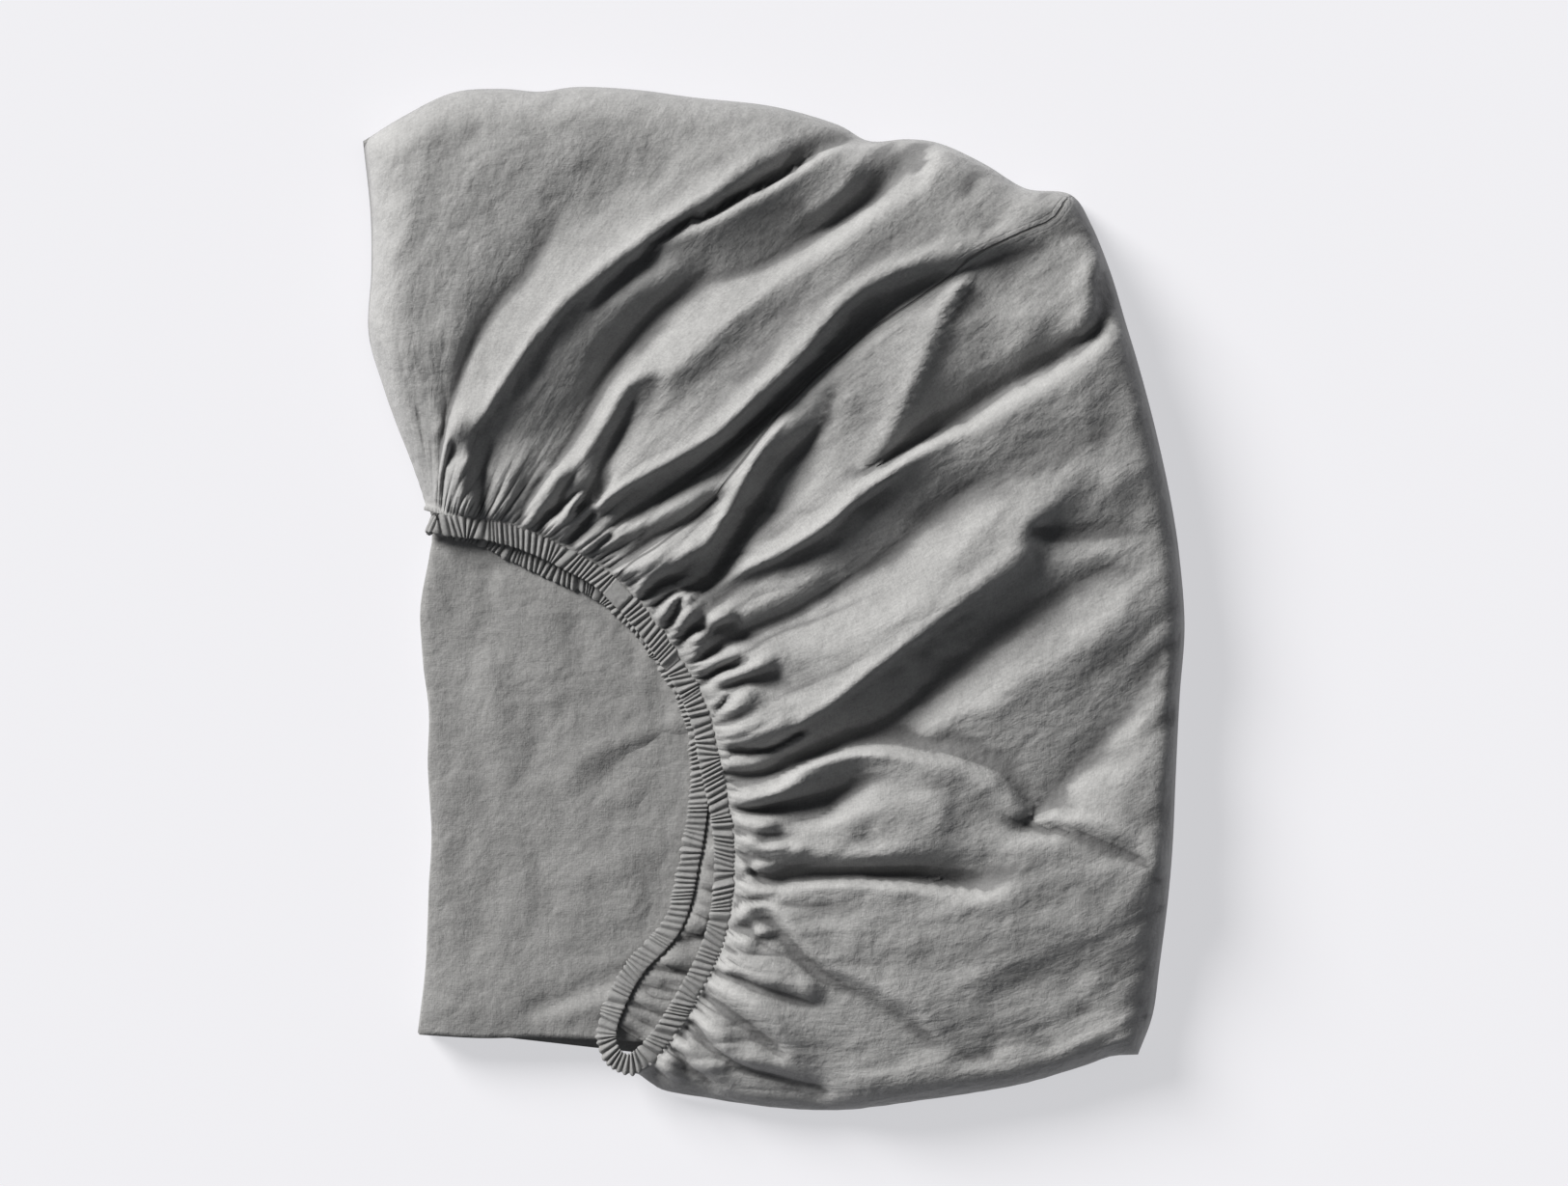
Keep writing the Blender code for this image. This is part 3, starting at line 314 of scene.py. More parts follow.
    "bottom rise": [(760, 1082, 35), (785, 1094, 34), (815, 1102, 31), (850, 1114, 26)],
    "bottom slit": [
        (690, 1080, 24), (700, 1083, 23), (706, 1090, 22), (712, 1099, 20), (720, 1110, 17), (730, 1120, 14),
    ],
    "pinch rise": [
        (1195, 912, 35), (1150, 932, 39), (1090, 950, 42), (1010, 962, 43), (940, 970, 42), (880, 965, 42),
    ],
    "pinch valley": [
        (1197, 918, 34), (1160, 955, 35), (1120, 985, 35), (1080, 1012, 35), (1045, 1050, 33),
        (1020, 1090, 27),
    ],
    "right edge": [(1200, 935, 28), (1193, 965, 28), (1188, 1000, 27), (1184, 1050, 23)],
    "lower field": [
        (950, 1000, 40), (1010, 1010, 40), (1120, 1040, 29), (1080, 1075, 28), (900, 1070, 35),
        (1150, 1000, 30),
    ],
    "edge crease": [(1131, 246, 33), (1126, 275, 42), (1119, 308, 45), (1113, 342, 45)],
    "edge dip": [(1138, 285, 30), (1140, 310, 31), (1145, 328, 34)],
    "middle field": [(1000, 340, 44), (1060, 330, 45), (1000, 385, 42), (1060, 360, 42)],
    "right field": [(1170, 420, 42), (1180, 480, 40), (1120, 440, 47), (1150, 500, 45)],
    "top pleat": [(956, 157, 30), (957, 177, 37), (952, 196, 40)],
    "top pleat rise": [(963, 157, 35), (962, 180, 43), (958, 200, 44)],
    "top crease": [(1008, 188, 36), (1010, 215, 43), (1015, 245, 44)],
    "top field": [(1040, 215, 39), (1060, 225, 39), (985, 230, 47)],
}
SPREAD_LINES = {"lower field", "middle field", "right field", "top field"}
# Lines whose names end in one of these words are rounded; the others are creased.
SOFT_WORDS = {"rise", "face", "field", "knoll", "ridge", "hollow", "dip", "body"}

# Steep faces beside some crests: how far to the left of the line the foot lies, and how far below it, in mm. The
# drop dies away towards the crest's far end.
FEET = {
    "first crest": (-5.0, 6.0), "fourth crest": (-5.5, 10.0), "fifth crest": (-4.5, 8.0), "sixth crest": (-5.0, 8.0),
    "eighth crest": (-6.0, 8.0), "corner crest": (4.0, 4.5), "third crest": (4.0, 3.0), "edge crease": (4.0, 3.0),
}

# Tucks that run out from the casing, as (x, y, height in mm), and the puffs between them.
TUCKS = [
    [(463, 440, 32), (452, 465, 28), (447, 495, 26), (449, 525, 26)],
    [(475, 462, 35), (464, 490, 29), (461, 512, 27), (463, 532, 26)],
    [(513, 462, 34), (507, 495, 29), (503, 522, 27), (500, 538, 26)],
    [(577, 488, 38), (563, 508, 32), (549, 530, 28), (541, 545, 26)],
    [(617, 494, 36), (598, 518, 30), (574, 531, 28), (558, 552, 26)],
    [(632, 500, 30), (620, 527, 27), (600, 552, 26), (588, 570, 26)],
    [(652, 557, 32), (632, 568, 28), (617, 577, 27), (611, 588, 26)],
    [(663, 578, 32), (650, 582, 28), (632, 590, 27), (622, 598, 26)],
    [(664, 602, 36), (658, 606, 29), (655, 615, 27)],
    [(722, 599, 32), (700, 599, 30), (683, 606, 28), (666, 620, 26)],
    [(728, 600, 27), (716, 611, 27), (700, 615, 27), (688, 622, 26), (676, 632, 26)],
    [(706, 618, 37), (702, 632, 30), (697, 644, 27), (690, 655, 26)],
    [(733, 643, 37), (722, 651, 30), (712, 660, 27), (703, 668, 26)],
    [(777, 681, 39), (765, 690, 31), (750, 692, 28), (740, 698, 27), (731, 706, 26)],
    [(758, 711, 39), (753, 722, 31), (746, 732, 28), (740, 741, 26)],
    [(772, 737, 44), (760, 742, 38), (750, 745, 31), (742, 748, 27)],
    [(745, 781, 26), (757, 781, 27), (770, 778, 27), (785, 776, 27), (800, 775, 27), (815, 768, 29), (832, 757, 31)],
    [(752, 812, 26), (762, 815, 28), (775, 812, 32), (785, 817, 37)],
    [(756, 836, 26), (765, 837, 26)],
    [(760, 851, 26), (766, 860, 29), (775, 862, 36)],
    [(768, 879, 27), (780, 884, 33), (792, 889, 37), (806, 889, 38), (820, 884, 40), (829, 874, 44)],
    [(768, 879, 27), (774, 888, 27), (782, 898, 27), (790, 906, 27), (803, 909, 27)],
    [(763, 901, 26), (778, 903, 33)],
    [(767, 927, 26), (780, 927, 29), (792, 927, 36)],
    [(753, 944, 26), (762, 939, 28), (769, 932, 32)],
    [(749, 963, 26), (756, 957, 27), (765, 953, 31), (778, 950, 38)],
    [(745, 977, 26), (753, 978, 29), (763, 981, 35)],
    [(723, 1039, 26), (731, 1043, 28), (738, 1054, 34)],
    [(702, 1066, 25), (712, 1071, 27), (718, 1078, 31)],
    [(672, 1101, 22), (677, 1113, 16), (682, 1123, 10)],
]
PUFFS = [
    [(457, 520, 31), (460, 500, 36), (467, 470, 41), (476, 440, 43)],
    [(470, 530, 32), (478, 505, 38), (490, 478, 43)],
    [(487, 540, 30), (492, 520, 36)],
    [(515, 542, 31), (525, 520, 34), (545, 482, 36)],
    [(550, 545, 32), (566, 520, 39), (585, 495, 43)],
    [(572, 552, 33), (590, 533, 40), (605, 515, 44)],
    [(600, 577, 31), (620, 562, 34), (650, 545, 36)],
    [(629, 605, 32), (640, 596, 37), (660, 585, 42), (690, 570, 46)],
    [(660, 618, 32), (668, 608, 39), (690, 590, 45), (720, 570, 49)],
    [(672, 636, 31), (685, 620, 34), (705, 608, 36)],
    [(684, 648, 32), (692, 632, 40), (703, 617, 44), (711, 614, 44)],
    [(697, 664, 32), (705, 650, 40), (713, 632, 44), (716, 618, 44)],
    [(708, 678, 32), (722, 662, 41), (742, 648, 45), (760, 640, 46)],
    [(724, 697, 31), (735, 688, 37), (755, 680, 39), (780, 674, 39)],
    [(735, 715, 32), (745, 704, 39), (765, 697, 44), (795, 688, 47)],
    [(741, 733, 31), (748, 722, 39), (757, 714, 43)],
    [(745, 742, 32), (755, 734, 42), (765, 722, 46), (775, 714, 46)],
    [(748, 757, 33), (760, 757, 42), (785, 757, 47), (810, 750, 50)],
    [(752, 788, 32), (765, 788, 36), (785, 785, 35), (810, 779, 32)],
    [(757, 827, 32), (775, 826, 40), (800, 818, 45), (830, 806, 47)],
    [(760, 843, 31), (775, 848, 38), (800, 852, 42)],
    [(764, 870, 32), (780, 872, 40), (810, 872, 44)],
    [(766, 893, 31), (775, 894, 36), (795, 898, 37)],
    [(768, 915, 32), (785, 917, 37), (805, 918, 40)],
    [(757, 952, 31), (764, 944, 37), (772, 936, 41), (790, 931, 43)],
    [(754, 970, 32), (770, 966, 39), (795, 960, 42)],
    [(750, 988, 32), (770, 992, 39), (800, 998, 42), (840, 1010, 43)],
    [(738, 1014, 31), (755, 1018, 37), (780, 1032, 40), (810, 1048, 40)],
    [(716, 1046, 30), (730, 1058, 35), (745, 1074, 37), (770, 1090, 35), (800, 1101, 30)],
    [(700, 1071, 28), (715, 1084, 30), (735, 1098, 29), (760, 1112, 26)],
    [(684, 1088, 27), (697, 1096, 27), (708, 1110, 23), (722, 1124, 17)],
]

# Wrinkles of the flat panel: their line, their height and their half width in mm. A hollow is below zero.
PANEL_WRINKLES = [
    ([(555, 1045), (600, 1026), (652, 1006)], -2.2, 5.0), ([(570, 1056), (612, 1040), (655, 1022)], 1.7, 5.5),
    ([(545, 806), (556, 782), (562, 752), (558, 722)], -1.4, 4.4),
    ([(590, 806), (612, 782), (650, 766), (705, 748)], 1.5, 5.0),
    ([(628, 806), (652, 786), (715, 770)], -1.9, 6.6), ([(511, 590), (508, 618), (509, 640)], -1.7, 3.9),
    ([(498, 655), (494, 678), (492, 702)], -1.4, 3.9), ([(519, 640), (517, 672)], -1.0, 3.9),
    ([(478, 850), (486, 862), (480, 900)], -1.0, 4.4), ([(684, 695), (688, 730), (686, 772)], -1.5, 3.9),
    ([(652, 648), (657, 672), (664, 690)], -1.5, 3.9), ([(668, 640), (676, 668), (668, 700)], 1.0, 3.9),
    ([(478, 600), (470, 650), (476, 720), (466, 780)], -1.2, 8.8), ([(560, 620), (575, 680), (570, 720)], 1.0, 11.0),
    ([(520, 900), (500, 960), (478, 1000)], -1.0, 7.7), ([(500, 700), (520, 740), (530, 800)], 1.2, 8.8),
    ([(600, 640), (606, 672), (600, 700)], -0.8, 4.4), ([(580, 740), (600, 726), (640, 720)], -0.8, 4.4),
    ([(555, 890), (570, 925), (560, 960)], -1.0, 6.6), ([(640, 845), (670, 835), (712, 822)], -1.2, 5.5),
    ([(600, 905), (640, 893), (690, 870)], 1.2, 6.6), ([(600, 985), (650, 965), (690, 940)], -1.0, 5.5),
]
# Rises and slits of the skirt's back between the two runs of the elastic: line, height and half width in mm.
GAP_FOLDS = [
    ([(742, 850), (736, 900), (728, 935), (714, 968), (696, 998), (684, 1020)], 2.4, 14.0),
    ([(733, 880), (725, 925), (711, 960), (690, 990), (666, 1020), (654, 1050)], 2.2, 5.0),
    ([(708, 958), (728, 948), (741, 934)], 1.4, 4.0),
    ([(705, 969), (730, 964), (742, 950)], -2.6, 2.2),
    ([(682, 988), (705, 986), (727, 986)], 1.4, 4.0),
    ([(672, 1000), (695, 1001), (716, 1007)], -2.8, 2.2),
    ([(666, 1018), (688, 1020), (706, 1026)], -2.4, 2.2),
    ([(656, 1029), (664, 1046), (661, 1066)], -2.0, 2.2),
]
# The hollow of the flat panel beside the elastic.
PANEL_HOLLOW = ([(735, 780), (725, 860), (712, 920), (690, 975)], -2.6, 30.0)

# The boxed corner's seam, from the rim to the casing.
CORNER_SEAM = [
    (1097, 220), (1085, 235), (1060, 246), (1000, 275), (985, 290), (950, 315), (930, 328), (900, 348), (880, 365),
    (850, 390), (830, 410), (810, 430), (790, 455), (775, 475), (755, 500), (740, 520), (720, 540), (700, 555),
    (680, 570), (660, 582), (640, 600),
]
SEAM_HALF_WIDTH = 0.0030
SEAM_RISE = 0.0002

# Gathers that run out from the elastic: count along it, height, and where they peak and end as shares of the skirt.
GATHERS = [
    {"count": 110, "height": 0.0030, "peak": 0.012, "end": 0.07, "seed": 60},
    {"count": 47, "height": 0.0030, "peak": 0.030, "end": 0.20, "seed": 61},
    {"count": 19, "height": 0.0022, "peak": 0.120, "end": 0.60, "seed": 62},
]
BACK_GATHER_SCALE = 1.2
# How far under its neighbours a point of the skirt lies where its painted shade is darkest.
DARKEST_PAINTED_SHADE_DEPTH = 0.0022
# The skirt's length along the elastic and its reach from there to the rim.
SKIRT_LENGTH, SKIRT_REACH = 0.62, 0.34
# Crumpling of the skirt: size across and along the gathers, height, and how sharp its creases are.
CRUMPLES = [
    {"across": 0.034, "along": 0.085, "height": 0.0030, "sharp": 0.7, "seed": 11},
    {"across": 0.017, "along": 0.040, "height": 0.0015, "sharp": 0.8, "seed": 23},
    {"across": 0.009, "along": 0.016, "height": 0.0007, "sharp": 0.6, "seed": 37},
]

# How the columns of the skirt are shared along the elastic and along the rim.
COLUMN_SHARES = (0, 0.12, 0.24, 0.34, 0.44, 0.54, 0.64, 0.74, 0.84, 1)
ELASTIC_SHARES = (0, 0.03, 0.10, 0.20, 0.30, 0.41, 0.53, 0.66, 0.80, 1)
RIM_SHARES = (0, 0.16, 0.30, 0.40, 0.49, 0.58, 0.68, 0.79, 0.90, 1)

# Colours of the linen. The last three are painted shade: for the cloth's hollows, for the flat panel, and for the
# corner seam's groove and lip.
LINEN_DARK = (0.195, 0.194, 0.193, 1)
LINEN_LIGHT = (0.405, 0.403, 0.400, 1)
LINEN_PAINTED_SHADE = (0.075, 0.075, 0.076, 1)
PANEL_SHADE = (0.11, 0.105, 0.10, 1)
SEAM_SHADE = (0.08, 0.08, 0.079, 1)
# How far along the cloth from the elastic, in metres, the skirt has ended and the panel has begun.
SKIRT_END, PANEL_START = 0.42, 0.46

# Floor, camera and light.
FLOOR_COLOUR = (0.32, 0.315, 0.33, 1)
FLOOR_GLOW = (0.97, 0.97, 1.0, 1)
SKY_COLOUR = (0.92, 0.95, 1.0, 1)
SUN_COLOUR = (1.0, 0.99, 0.97)
CAMERA_LENS = 100
CAMERA_SENSOR = 36
VIEW_WIDTH = 0.8125
VIEW_CENTRE = (812.5, 614.5)


def on_grid(point):
    """A point of the drawing grid in metres, with its height where it has one."""
    x, y = point[:2]
    place = [(x - GRID_CENTRE[0]) * SQUARE, (GRID_CENTRE[1] - y) * SQUARE]
    return np.array(place + [z * MM for z in point[2:]])


def smoothstep(value):
    value = np.clip(value, 0.0, 1.0)
    return value * value * (3 - 2 * value)


def lattice_value(i, j, seed):
    """A repeatable pseudo-random number from 0 to 1 at each lattice point."""
    mixed = np.sin(i * 127.1 + j * 311.7 + seed * 74.7) * 43758.5453
    return mixed - np.floor(mixed)


def smooth_noise(x, y, seed):
    """Noise from 0 to 1 with features about one unit across."""
    i, j = np.floor(x), np.floor(y)
    a, b = smoothstep(x - i), smoothstep(y - j)
    near = lattice_value(i, j, seed) * (1 - a) + lattice_value(i + 1, j, seed) * a
    far = lattice_value(i, j + 1, seed) * (1 - a) + lattice_value(i + 1, j + 1, seed) * a
    return near * (1 - b) + far * b


def creased_noise(x, y, seed, sharp):
    """Noise from 0 to 1, with creases where it turns; sharp goes from rolling to creased."""
    bend = 0.7 * (smooth_noise(x * 0.5, y * 0.5, seed + 5) - 0.5)
    plain = smooth_noise(x + bend, y, seed)
    creased = 1 - np.abs(2 * plain - 1)
    return plain * (1 - sharp) + creased * sharp


class Curve:
    """A smooth curve through points, read by the share of its length."""

    def __init__(self, points, closed=False, per_span=10):
        points = np.array(points, float)
        ring = np.vstack([points[-1:], points, points[:2]]) if closed else self.with_ends(points)
        fine = []
        for start in range(1, len(ring) - 2):
            before, here, there, after = ring[start - 1 : start + 3]
            for share in np.arange(per_span) / per_span:
                fine.append(self.between(before, here, there, after, share))
        fine.append(ring[-2])
        self.points = np.array(fine)
        steps = np.linalg.norm(np.diff(self.points, axis=0), axis=1)
        self.along = np.concatenate([[0], np.cumsum(steps)])
        self.length = self.along[-1]

    @staticmethod
    def with_ends(points):
        return np.vstack([2 * points[0] - points[1], points, 2 * points[-1] - points[-2]])

    @staticmethod
    def between(before, here, there, after, share):
        """The Catmull-Rom point between two neighbours."""
        return 0.5 * (
            2 * here
            + (there - before) * share
            + (2 * before - 5 * here + 4 * there - after) * share**2
            + (3 * here - before - 3 * there + after) * share**3
        )

    def at(self, share):
        wanted = np.asarray(share, float) * self.length
        columns = [np.interp(wanted, self.along, self.points[:, k]) for k in range(self.points.shape[1])]
        return np.stack(columns, axis=-1)

    def side(self, distance):
        """The same curve moved sideways, to the left of its direction for a distance above zero."""
        ahead = np.gradient(self.points, axis=0)[:, :2]
        ahead /= np.linalg.norm(ahead, axis=1)[:, None]
        moved = self.points.copy()
        moved[:, 0] -= ahead[:, 1] * distance
        moved[:, 1] += ahead[:, 0] * distance
        return moved


def grid_curve(points, per_span=10):
    return Curve([on_grid(p) for p in points], per_span=per_span)


def even(count):
    """Shares from 0 to 1 in even steps."""
    return np.linspace(0, 1, count + 1)


def on_elastic(curve, columns):
    """The points of a curve beside the elastic where each column starts."""
    return curve.at(np.interp(columns, COLUMN_SHARES, ELASTIC_SHARES))[None]


def distance_to(lines, x, y):
    """The distance from each point to the nearest of some fine lines."""
    spots = np.vstack([line[:, :2] for line in lines])
    flat_x, flat_y = np.ravel(x), np.ravel(y)
    found = np.empty(len(flat_x))
    for start in range(0, len(flat_x), BATCH):
        part = slice(start, start + BATCH)
        gaps = np.hypot(flat_x[part, None] - spots[:, 0], flat_y[part, None] - spots[:, 1])
        found[part] = gaps.min(axis=1)
    return found.reshape(np.shape(x))


def side_of(line, x, y):
    """The signed distance from each point to a fine line: above zero to its left."""
    flat = np.column_stack([np.ravel(x), np.ravel(y)])
    ahead = np.gradient(line[:, :2], axis=0)
    ahead /= np.linalg.norm(ahead, axis=1)[:, None]
    found = np.empty(len(flat))
    for start in range(0, len(flat), BATCH):
        part = slice(start, start + BATCH)
        away = flat[part, None] - line[None, :, :2]
        nearest = np.hypot(away[..., 0], away[..., 1]).argmin(axis=1)
        rows = np.arange(len(nearest))
        gap, way = away[rows, nearest], ahead[nearest]
        across = way[:, 0] * gap[:, 1] - way[:, 1] * gap[:, 0]
        past = np.abs((gap * way).sum(axis=1))
        found[part] = np.sign(across) * np.hypot(across, np.maximum(past - 0.003, 0))
    return found.reshape(np.shape(x))


def laplacian(values):
    padded = np.pad(values, 1, mode="edge")
    around = padded[:-2, 1:-1] + padded[2:, 1:-1] + padded[1:-1, :-2] + padded[1:-1, 2:]
    return around - 4 * values


class FoldField:
    """The height of the skirt: a stiff sheet relaxed over its crest and valley lines."""

    TENSION = 0.10
    BENDING = 2.0
    CREASE_BENDING = 0.03
    LINE_PULL = 6.0
    REST_PULL = 0.0005
    REST_HEIGHT = 0.036
    ROUNDS = 1400
    SOFTENING = 3
    AND_NEIGHBOURS = ((0, 0), (1, 0), (-1, 0), (0, 1), (0, -1))

    def __init__(self, lines, creases, low, high, step):
        self.low, self.step = np.array(low, float), step
        self.shape = tuple(np.ceil((np.array(high) - self.low) / step).astype(int) + 1)
        self.bending = np.full(self.shape, self.BENDING)
        for points in creases:
            cell = np.clip(np.rint((points[:, :2] - self.low) / step).astype(int), 1, np.array(self.shape) - 2)
            for i, j in self.AND_NEIGHBOURS:
                self.bending[cell[:, 0] + i, cell[:, 1] + j] = self.CREASE_BENDING
        pull = np.full(self.shape, self.REST_PULL)
        wanted = pull * self.REST_HEIGHT
        for points in lines:
            cell = np.rint((points[:, :2] - self.low) / step).astype(int)
            cell = np.clip(cell, 0, np.array(self.shape) - 1)
            np.add.at(pull, (cell[:, 0], cell[:, 1]), self.LINE_PULL)
            np.add.at(wanted, (cell[:, 0], cell[:, 1]), self.LINE_PULL * points[:, 2])
        self.height = self.relax(pull, wanted)
        for _ in range(self.SOFTENING):
            self.height += laplacian(self.height) / 8

    def relax(self, pull, wanted):
        """Solves for the heights by conjugate gradients."""

        def stretched(z):
            bent = laplacian(z)
            return pull * z - self.TENSION * bent + laplacian(self.bending * bent)

        z = np.full(self.shape, self.REST_HEIGHT)
        rest = wanted - stretched(z)
        push = rest.copy()
        size = (rest * rest).sum()
        for _ in range(self.ROUNDS):
            pushed = stretched(push)
            step = size / (push * pushed).sum()
            z += step * push
            rest -= step * pushed
            grown = (rest * rest).sum()
            push = rest + grown / size * push
            size = grown
        return z

    def at(self, x, y):
        """The height at each point, between the four nearest of the field."""
        u = np.clip((x - self.low[0]) / self.step, 0, self.shape[0] - 1.001)
        v = np.clip((y - self.low[1]) / self.step, 0, self.shape[1] - 1.001)
        i, j = u.astype(int), v.astype(int)
        a, b = u - i, v - j
        z = self.height
        near = z[i, j] * (1 - a) + z[i + 1, j] * a
        far = z[i, j + 1] * (1 - a) + z[i + 1, j + 1] * a
        return near * (1 - b) + far * b


class Patch:
    """A four-sided patch between an inner edge, an outer edge and two side edges."""

    def __init__(self, inner, outer, first, last):
        self.inner, self.outer, self.first, self.last = inner, outer, first, last

    def side_points(self, side, end, rows):
        """Points of a side edge, drawn to where the inner and the outer edge end."""
        start, stop = self.inner.at(end)[:2], self.outer.at(end)[:2]
        rows = rows[:, None]
        drawn = (1 - rows) * (start - side.at(0)[:2]) + rows * (stop - side.at(1)[:2])
        return side.at(rows[:, 0])[:, :2] + drawn

    def grid(self, columns, rows):
        """The places of a whole grid, as rows by columns by two."""
        inner = on_elastic(self.inner, columns)[..., :2]
        outer = self.outer.at(np.interp(columns, COLUMN_SHARES, RIM_SHARES))[None, :, :2]
        first = self.side_points(self.first, 0, rows)[:, None]
        last = self.side_points(self.last, 1, rows)[:, None]
        c, r = columns[None, :, None], rows[:, None, None]
        near = (1 - c) * inner[:, :1] + c * inner[:, -1:]
        far = (1 - c) * outer[:, :1] + c * outer[:, -1:]
        return (1 - c) * first + c * last + (1 - r) * inner + r * outer - (1 - r) * near - r * far


class FoldedSheet:
    """The middle surface of the cloth, in rows from one elastic edge to the other."""

    def __init__(self):
        front, back = grid_curve(FRONT_BAND), grid_curve(BACK_BAND[::-1])
        hem_offset = CASING_WIDTH / 2 - HEM_LAP
        self.front_hem = self.hem_of(front, hem_offset, HOOD_LEFT[0])
        self.back_hem = self.hem_of(back, hem_offset, (452, 538))
        self.hood_left, self.rim, self.hood_bottom = map(grid_curve, (HOOD_LEFT, HOOD_RIM, HOOD_BOTTOM))
        self.edge = [self.hood_left.points, self.rim.points, self.hood_bottom.points]
        self.skirt = Patch(self.front_hem, self.rim, self.hood_left, self.hood_bottom)
        panel_left, panel_top, panel_bottom = map(grid_curve, (PANEL_LEFT, PANEL_TOP, PANEL_BOTTOM))
        inner_rim = self.inset_rim(INNER_RIM_INSET, panel_top.at(1), panel_bottom.at(1))
        floor_rim = self.inset_rim(RIM_TUCK, self.rim.at(0) + (0.007, -0.006), on_grid(FLOOR_BOTTOM[-1]))
        left_points = self.hood_left.side(-0.0015)[14:-6:8]
        floor_left = Curve(np.vstack([panel_left.at(0)[None], left_points, floor_rim.at(0)[None]]))
        self.floor = Patch(panel_left, floor_rim, floor_left, grid_curve(FLOOR_BOTTOM))
        self.panel = Patch(panel_left, inner_rim, panel_top, panel_bottom)
        self.back = Patch(self.back_hem, inner_rim, panel_top, grid_curve(BACK_SKIRT_BOTTOM))
        self.seam = grid_curve(CORNER_SEAM).points
        self.field = self.make_field(front)

    @staticmethod
    def hem_of(band, offset, start):
        """The cloth's edge beside a band, from where it starts at the fold."""
        moved = band.side(offset)[::5]
        moved[0, :2] = on_grid(start)
        return Curve(moved, per_span=4)

    def inset_rim(self, inset, first, last):
        """The rim moved inwards, between two given ends."""
        moved = self.rim.side(-inset)[::10]
        moved[0], moved[-1] = first[:2], last[:2]
        return Curve(np.delete(moved, [1, -2], axis=0), per_span=6)

    def make_field(self, front):
        """The skirt's height field, from its folds, tucks and puffs and the edge beside the casing."""
        lines, creases = [], []
        for name, points in FOLD_LINES.items():
            placed = np.array([on_grid(p) for p in points])
            lines.append(placed if name in SPREAD_LINES else Curve(placed, per_span=24).points)
            if name.split()[-1] not in SOFT_WORDS:
                creases.append(lines[-1])
            if name in FEET:
                away, drop = FEET[name]
                foot = Curve(placed, per_span=24).side(away * MM)
                taper = np.clip(np.linspace(3.3, 0, len(foot)), 0, 1)
                foot[:, 2] -= drop * MM * np.clip((foot[:, 2] - 0.030) / 0.015, 0, 1) * taper
                lines.append(foot)
        for tuck in TUCKS:
            lines.append(grid_curve(tuck, 16).points)
            creases.append(lines[-1])
        lines += [grid_curve(puff, 16).points for puff in PUFFS]
        lines.append(front.side(CASING_WIDTH / 2))
        low = np.min([line[:, :2].min(axis=0) for line in self.edge], axis=0)
        high = np.max([line[:, :2].max(axis=0) for line in self.edge], axis=0)
        return FoldField(lines, creases, low, high, FIELD_STEP)

    @staticmethod
    def bulge(x, y):
        """How far the middle of the bundle stands above its edges."""
        across = ((x - BULGE_CENTRE[0]) / BULGE_REACH[0]) ** 2
        along = ((y - BULGE_CENTRE[1]) / BULGE_REACH[1]) ** 2
        return BULGE_HEIGHT * np.exp(-across - along)

    def gathers(self, columns, rows, kinds=GATHERS, height_scale=1.0):
        """The small folds that run out from the elastic and die away."""
        total = np.zeros((len(rows), len(columns)))
        c, r = np.meshgrid(columns, rows)
        for gather in kinds:
            wander = smooth_noise(c * gather["count"] * 0.45, r * 5, gather["seed"]) * 1.7
            wave = c * gather["count"] + wander
            ripple = np.abs(np.sin(math.pi * wave)) ** 0.6
            strength = 0.35 + 0.65 * smooth_noise(c * gather["count"] * 0.8, r * 3, gather["seed"] + 20)
            rise = smoothstep(r / gather["peak"])
            fall = 1 - smoothstep((r - gather["peak"]) / (gather["end"] - gather["peak"]))
            total += gather["height"] * (ripple - 0.5) * strength * rise * fall
        return total * height_scale

    def crumples(self, columns, rows):
        """The soft crumpling all over the skirt."""
        c, r = np.meshgrid(columns, rows)
        total = np.zeros_like(c)
        for crumple in CRUMPLES:
            across, along = c * SKIRT_LENGTH / crumple["across"], r * SKIRT_REACH / crumple["along"]
            noise = creased_noise(across, along, crumple["seed"], crumple["sharp"])
            total += crumple["height"] * (noise - 0.5)
        return total

    def skirt_grid(self, columns, rows):
        """The front of the skirt, as rows by columns by three, and each point's distance to the corner seam."""
        place = self.skirt.grid(columns, rows)
        x, y = place[..., 0], place[..., 1]
        c, r = np.meshgrid(columns, rows)
        gap = distance_to(self.edge, x, y)
        gap[rows == 1, :] = 0
        gap[:, 0] = gap[:, -1] = 0
        steep = smoothstep((c - 0.30) / 0.10) * smoothstep((1 - c) / 0.08)
        inwards = np.minimum(gap / (RIM_ROUND + (STEEP_RIM_ROUND - RIM_ROUND) * steep), 1)
        share = np.sqrt(1 - (1 - inwards) ** 2)
        corner = smoothstep((r - 0.8) / 0.2)
        side = SIDE_EDGE_HEIGHT + (RIM_HEIGHT - SIDE_EDGE_HEIGHT) * corner
        on_side = 1 - smoothstep(np.minimum(c, 1 - c) / 0.03)
        edge_height = RIM_HEIGHT + (side - RIM_HEIGHT) * on_side
        fade = smoothstep(gap / 0.016) * smoothstep(r / 0.01)
        top = self.field.at(x, y) + (self.gathers(columns, rows) + self.crumples(columns, rows)) * fade
        pucker = creased_noise(c * 46 + r * 4, r * 3.5, 71, 0.7) - 0.5
        top += RIM_PUCKER * pucker * smoothstep((r - 0.80) / 0.16) * smoothstep((c - 0.30) / 0.08)
        seam = side_of(self.seam, x, y)
        top += SEAM_RISE * (1 - smoothstep((np.abs(seam) - SEAM_HALF_WIDTH * 0.6) / (SEAM_HALF_WIDTH * 0.8)))
        floor = BACK_PLY_HEIGHT + self.bulge(x, y) + LEAST_SKIRT_GAP
        top = np.where(top < floor + 0.001, floor + 0.001 * np.exp(np.minimum((top - floor) / 0.001 - 1, 0)), top)
        height = edge_height + (top - edge_height) * share
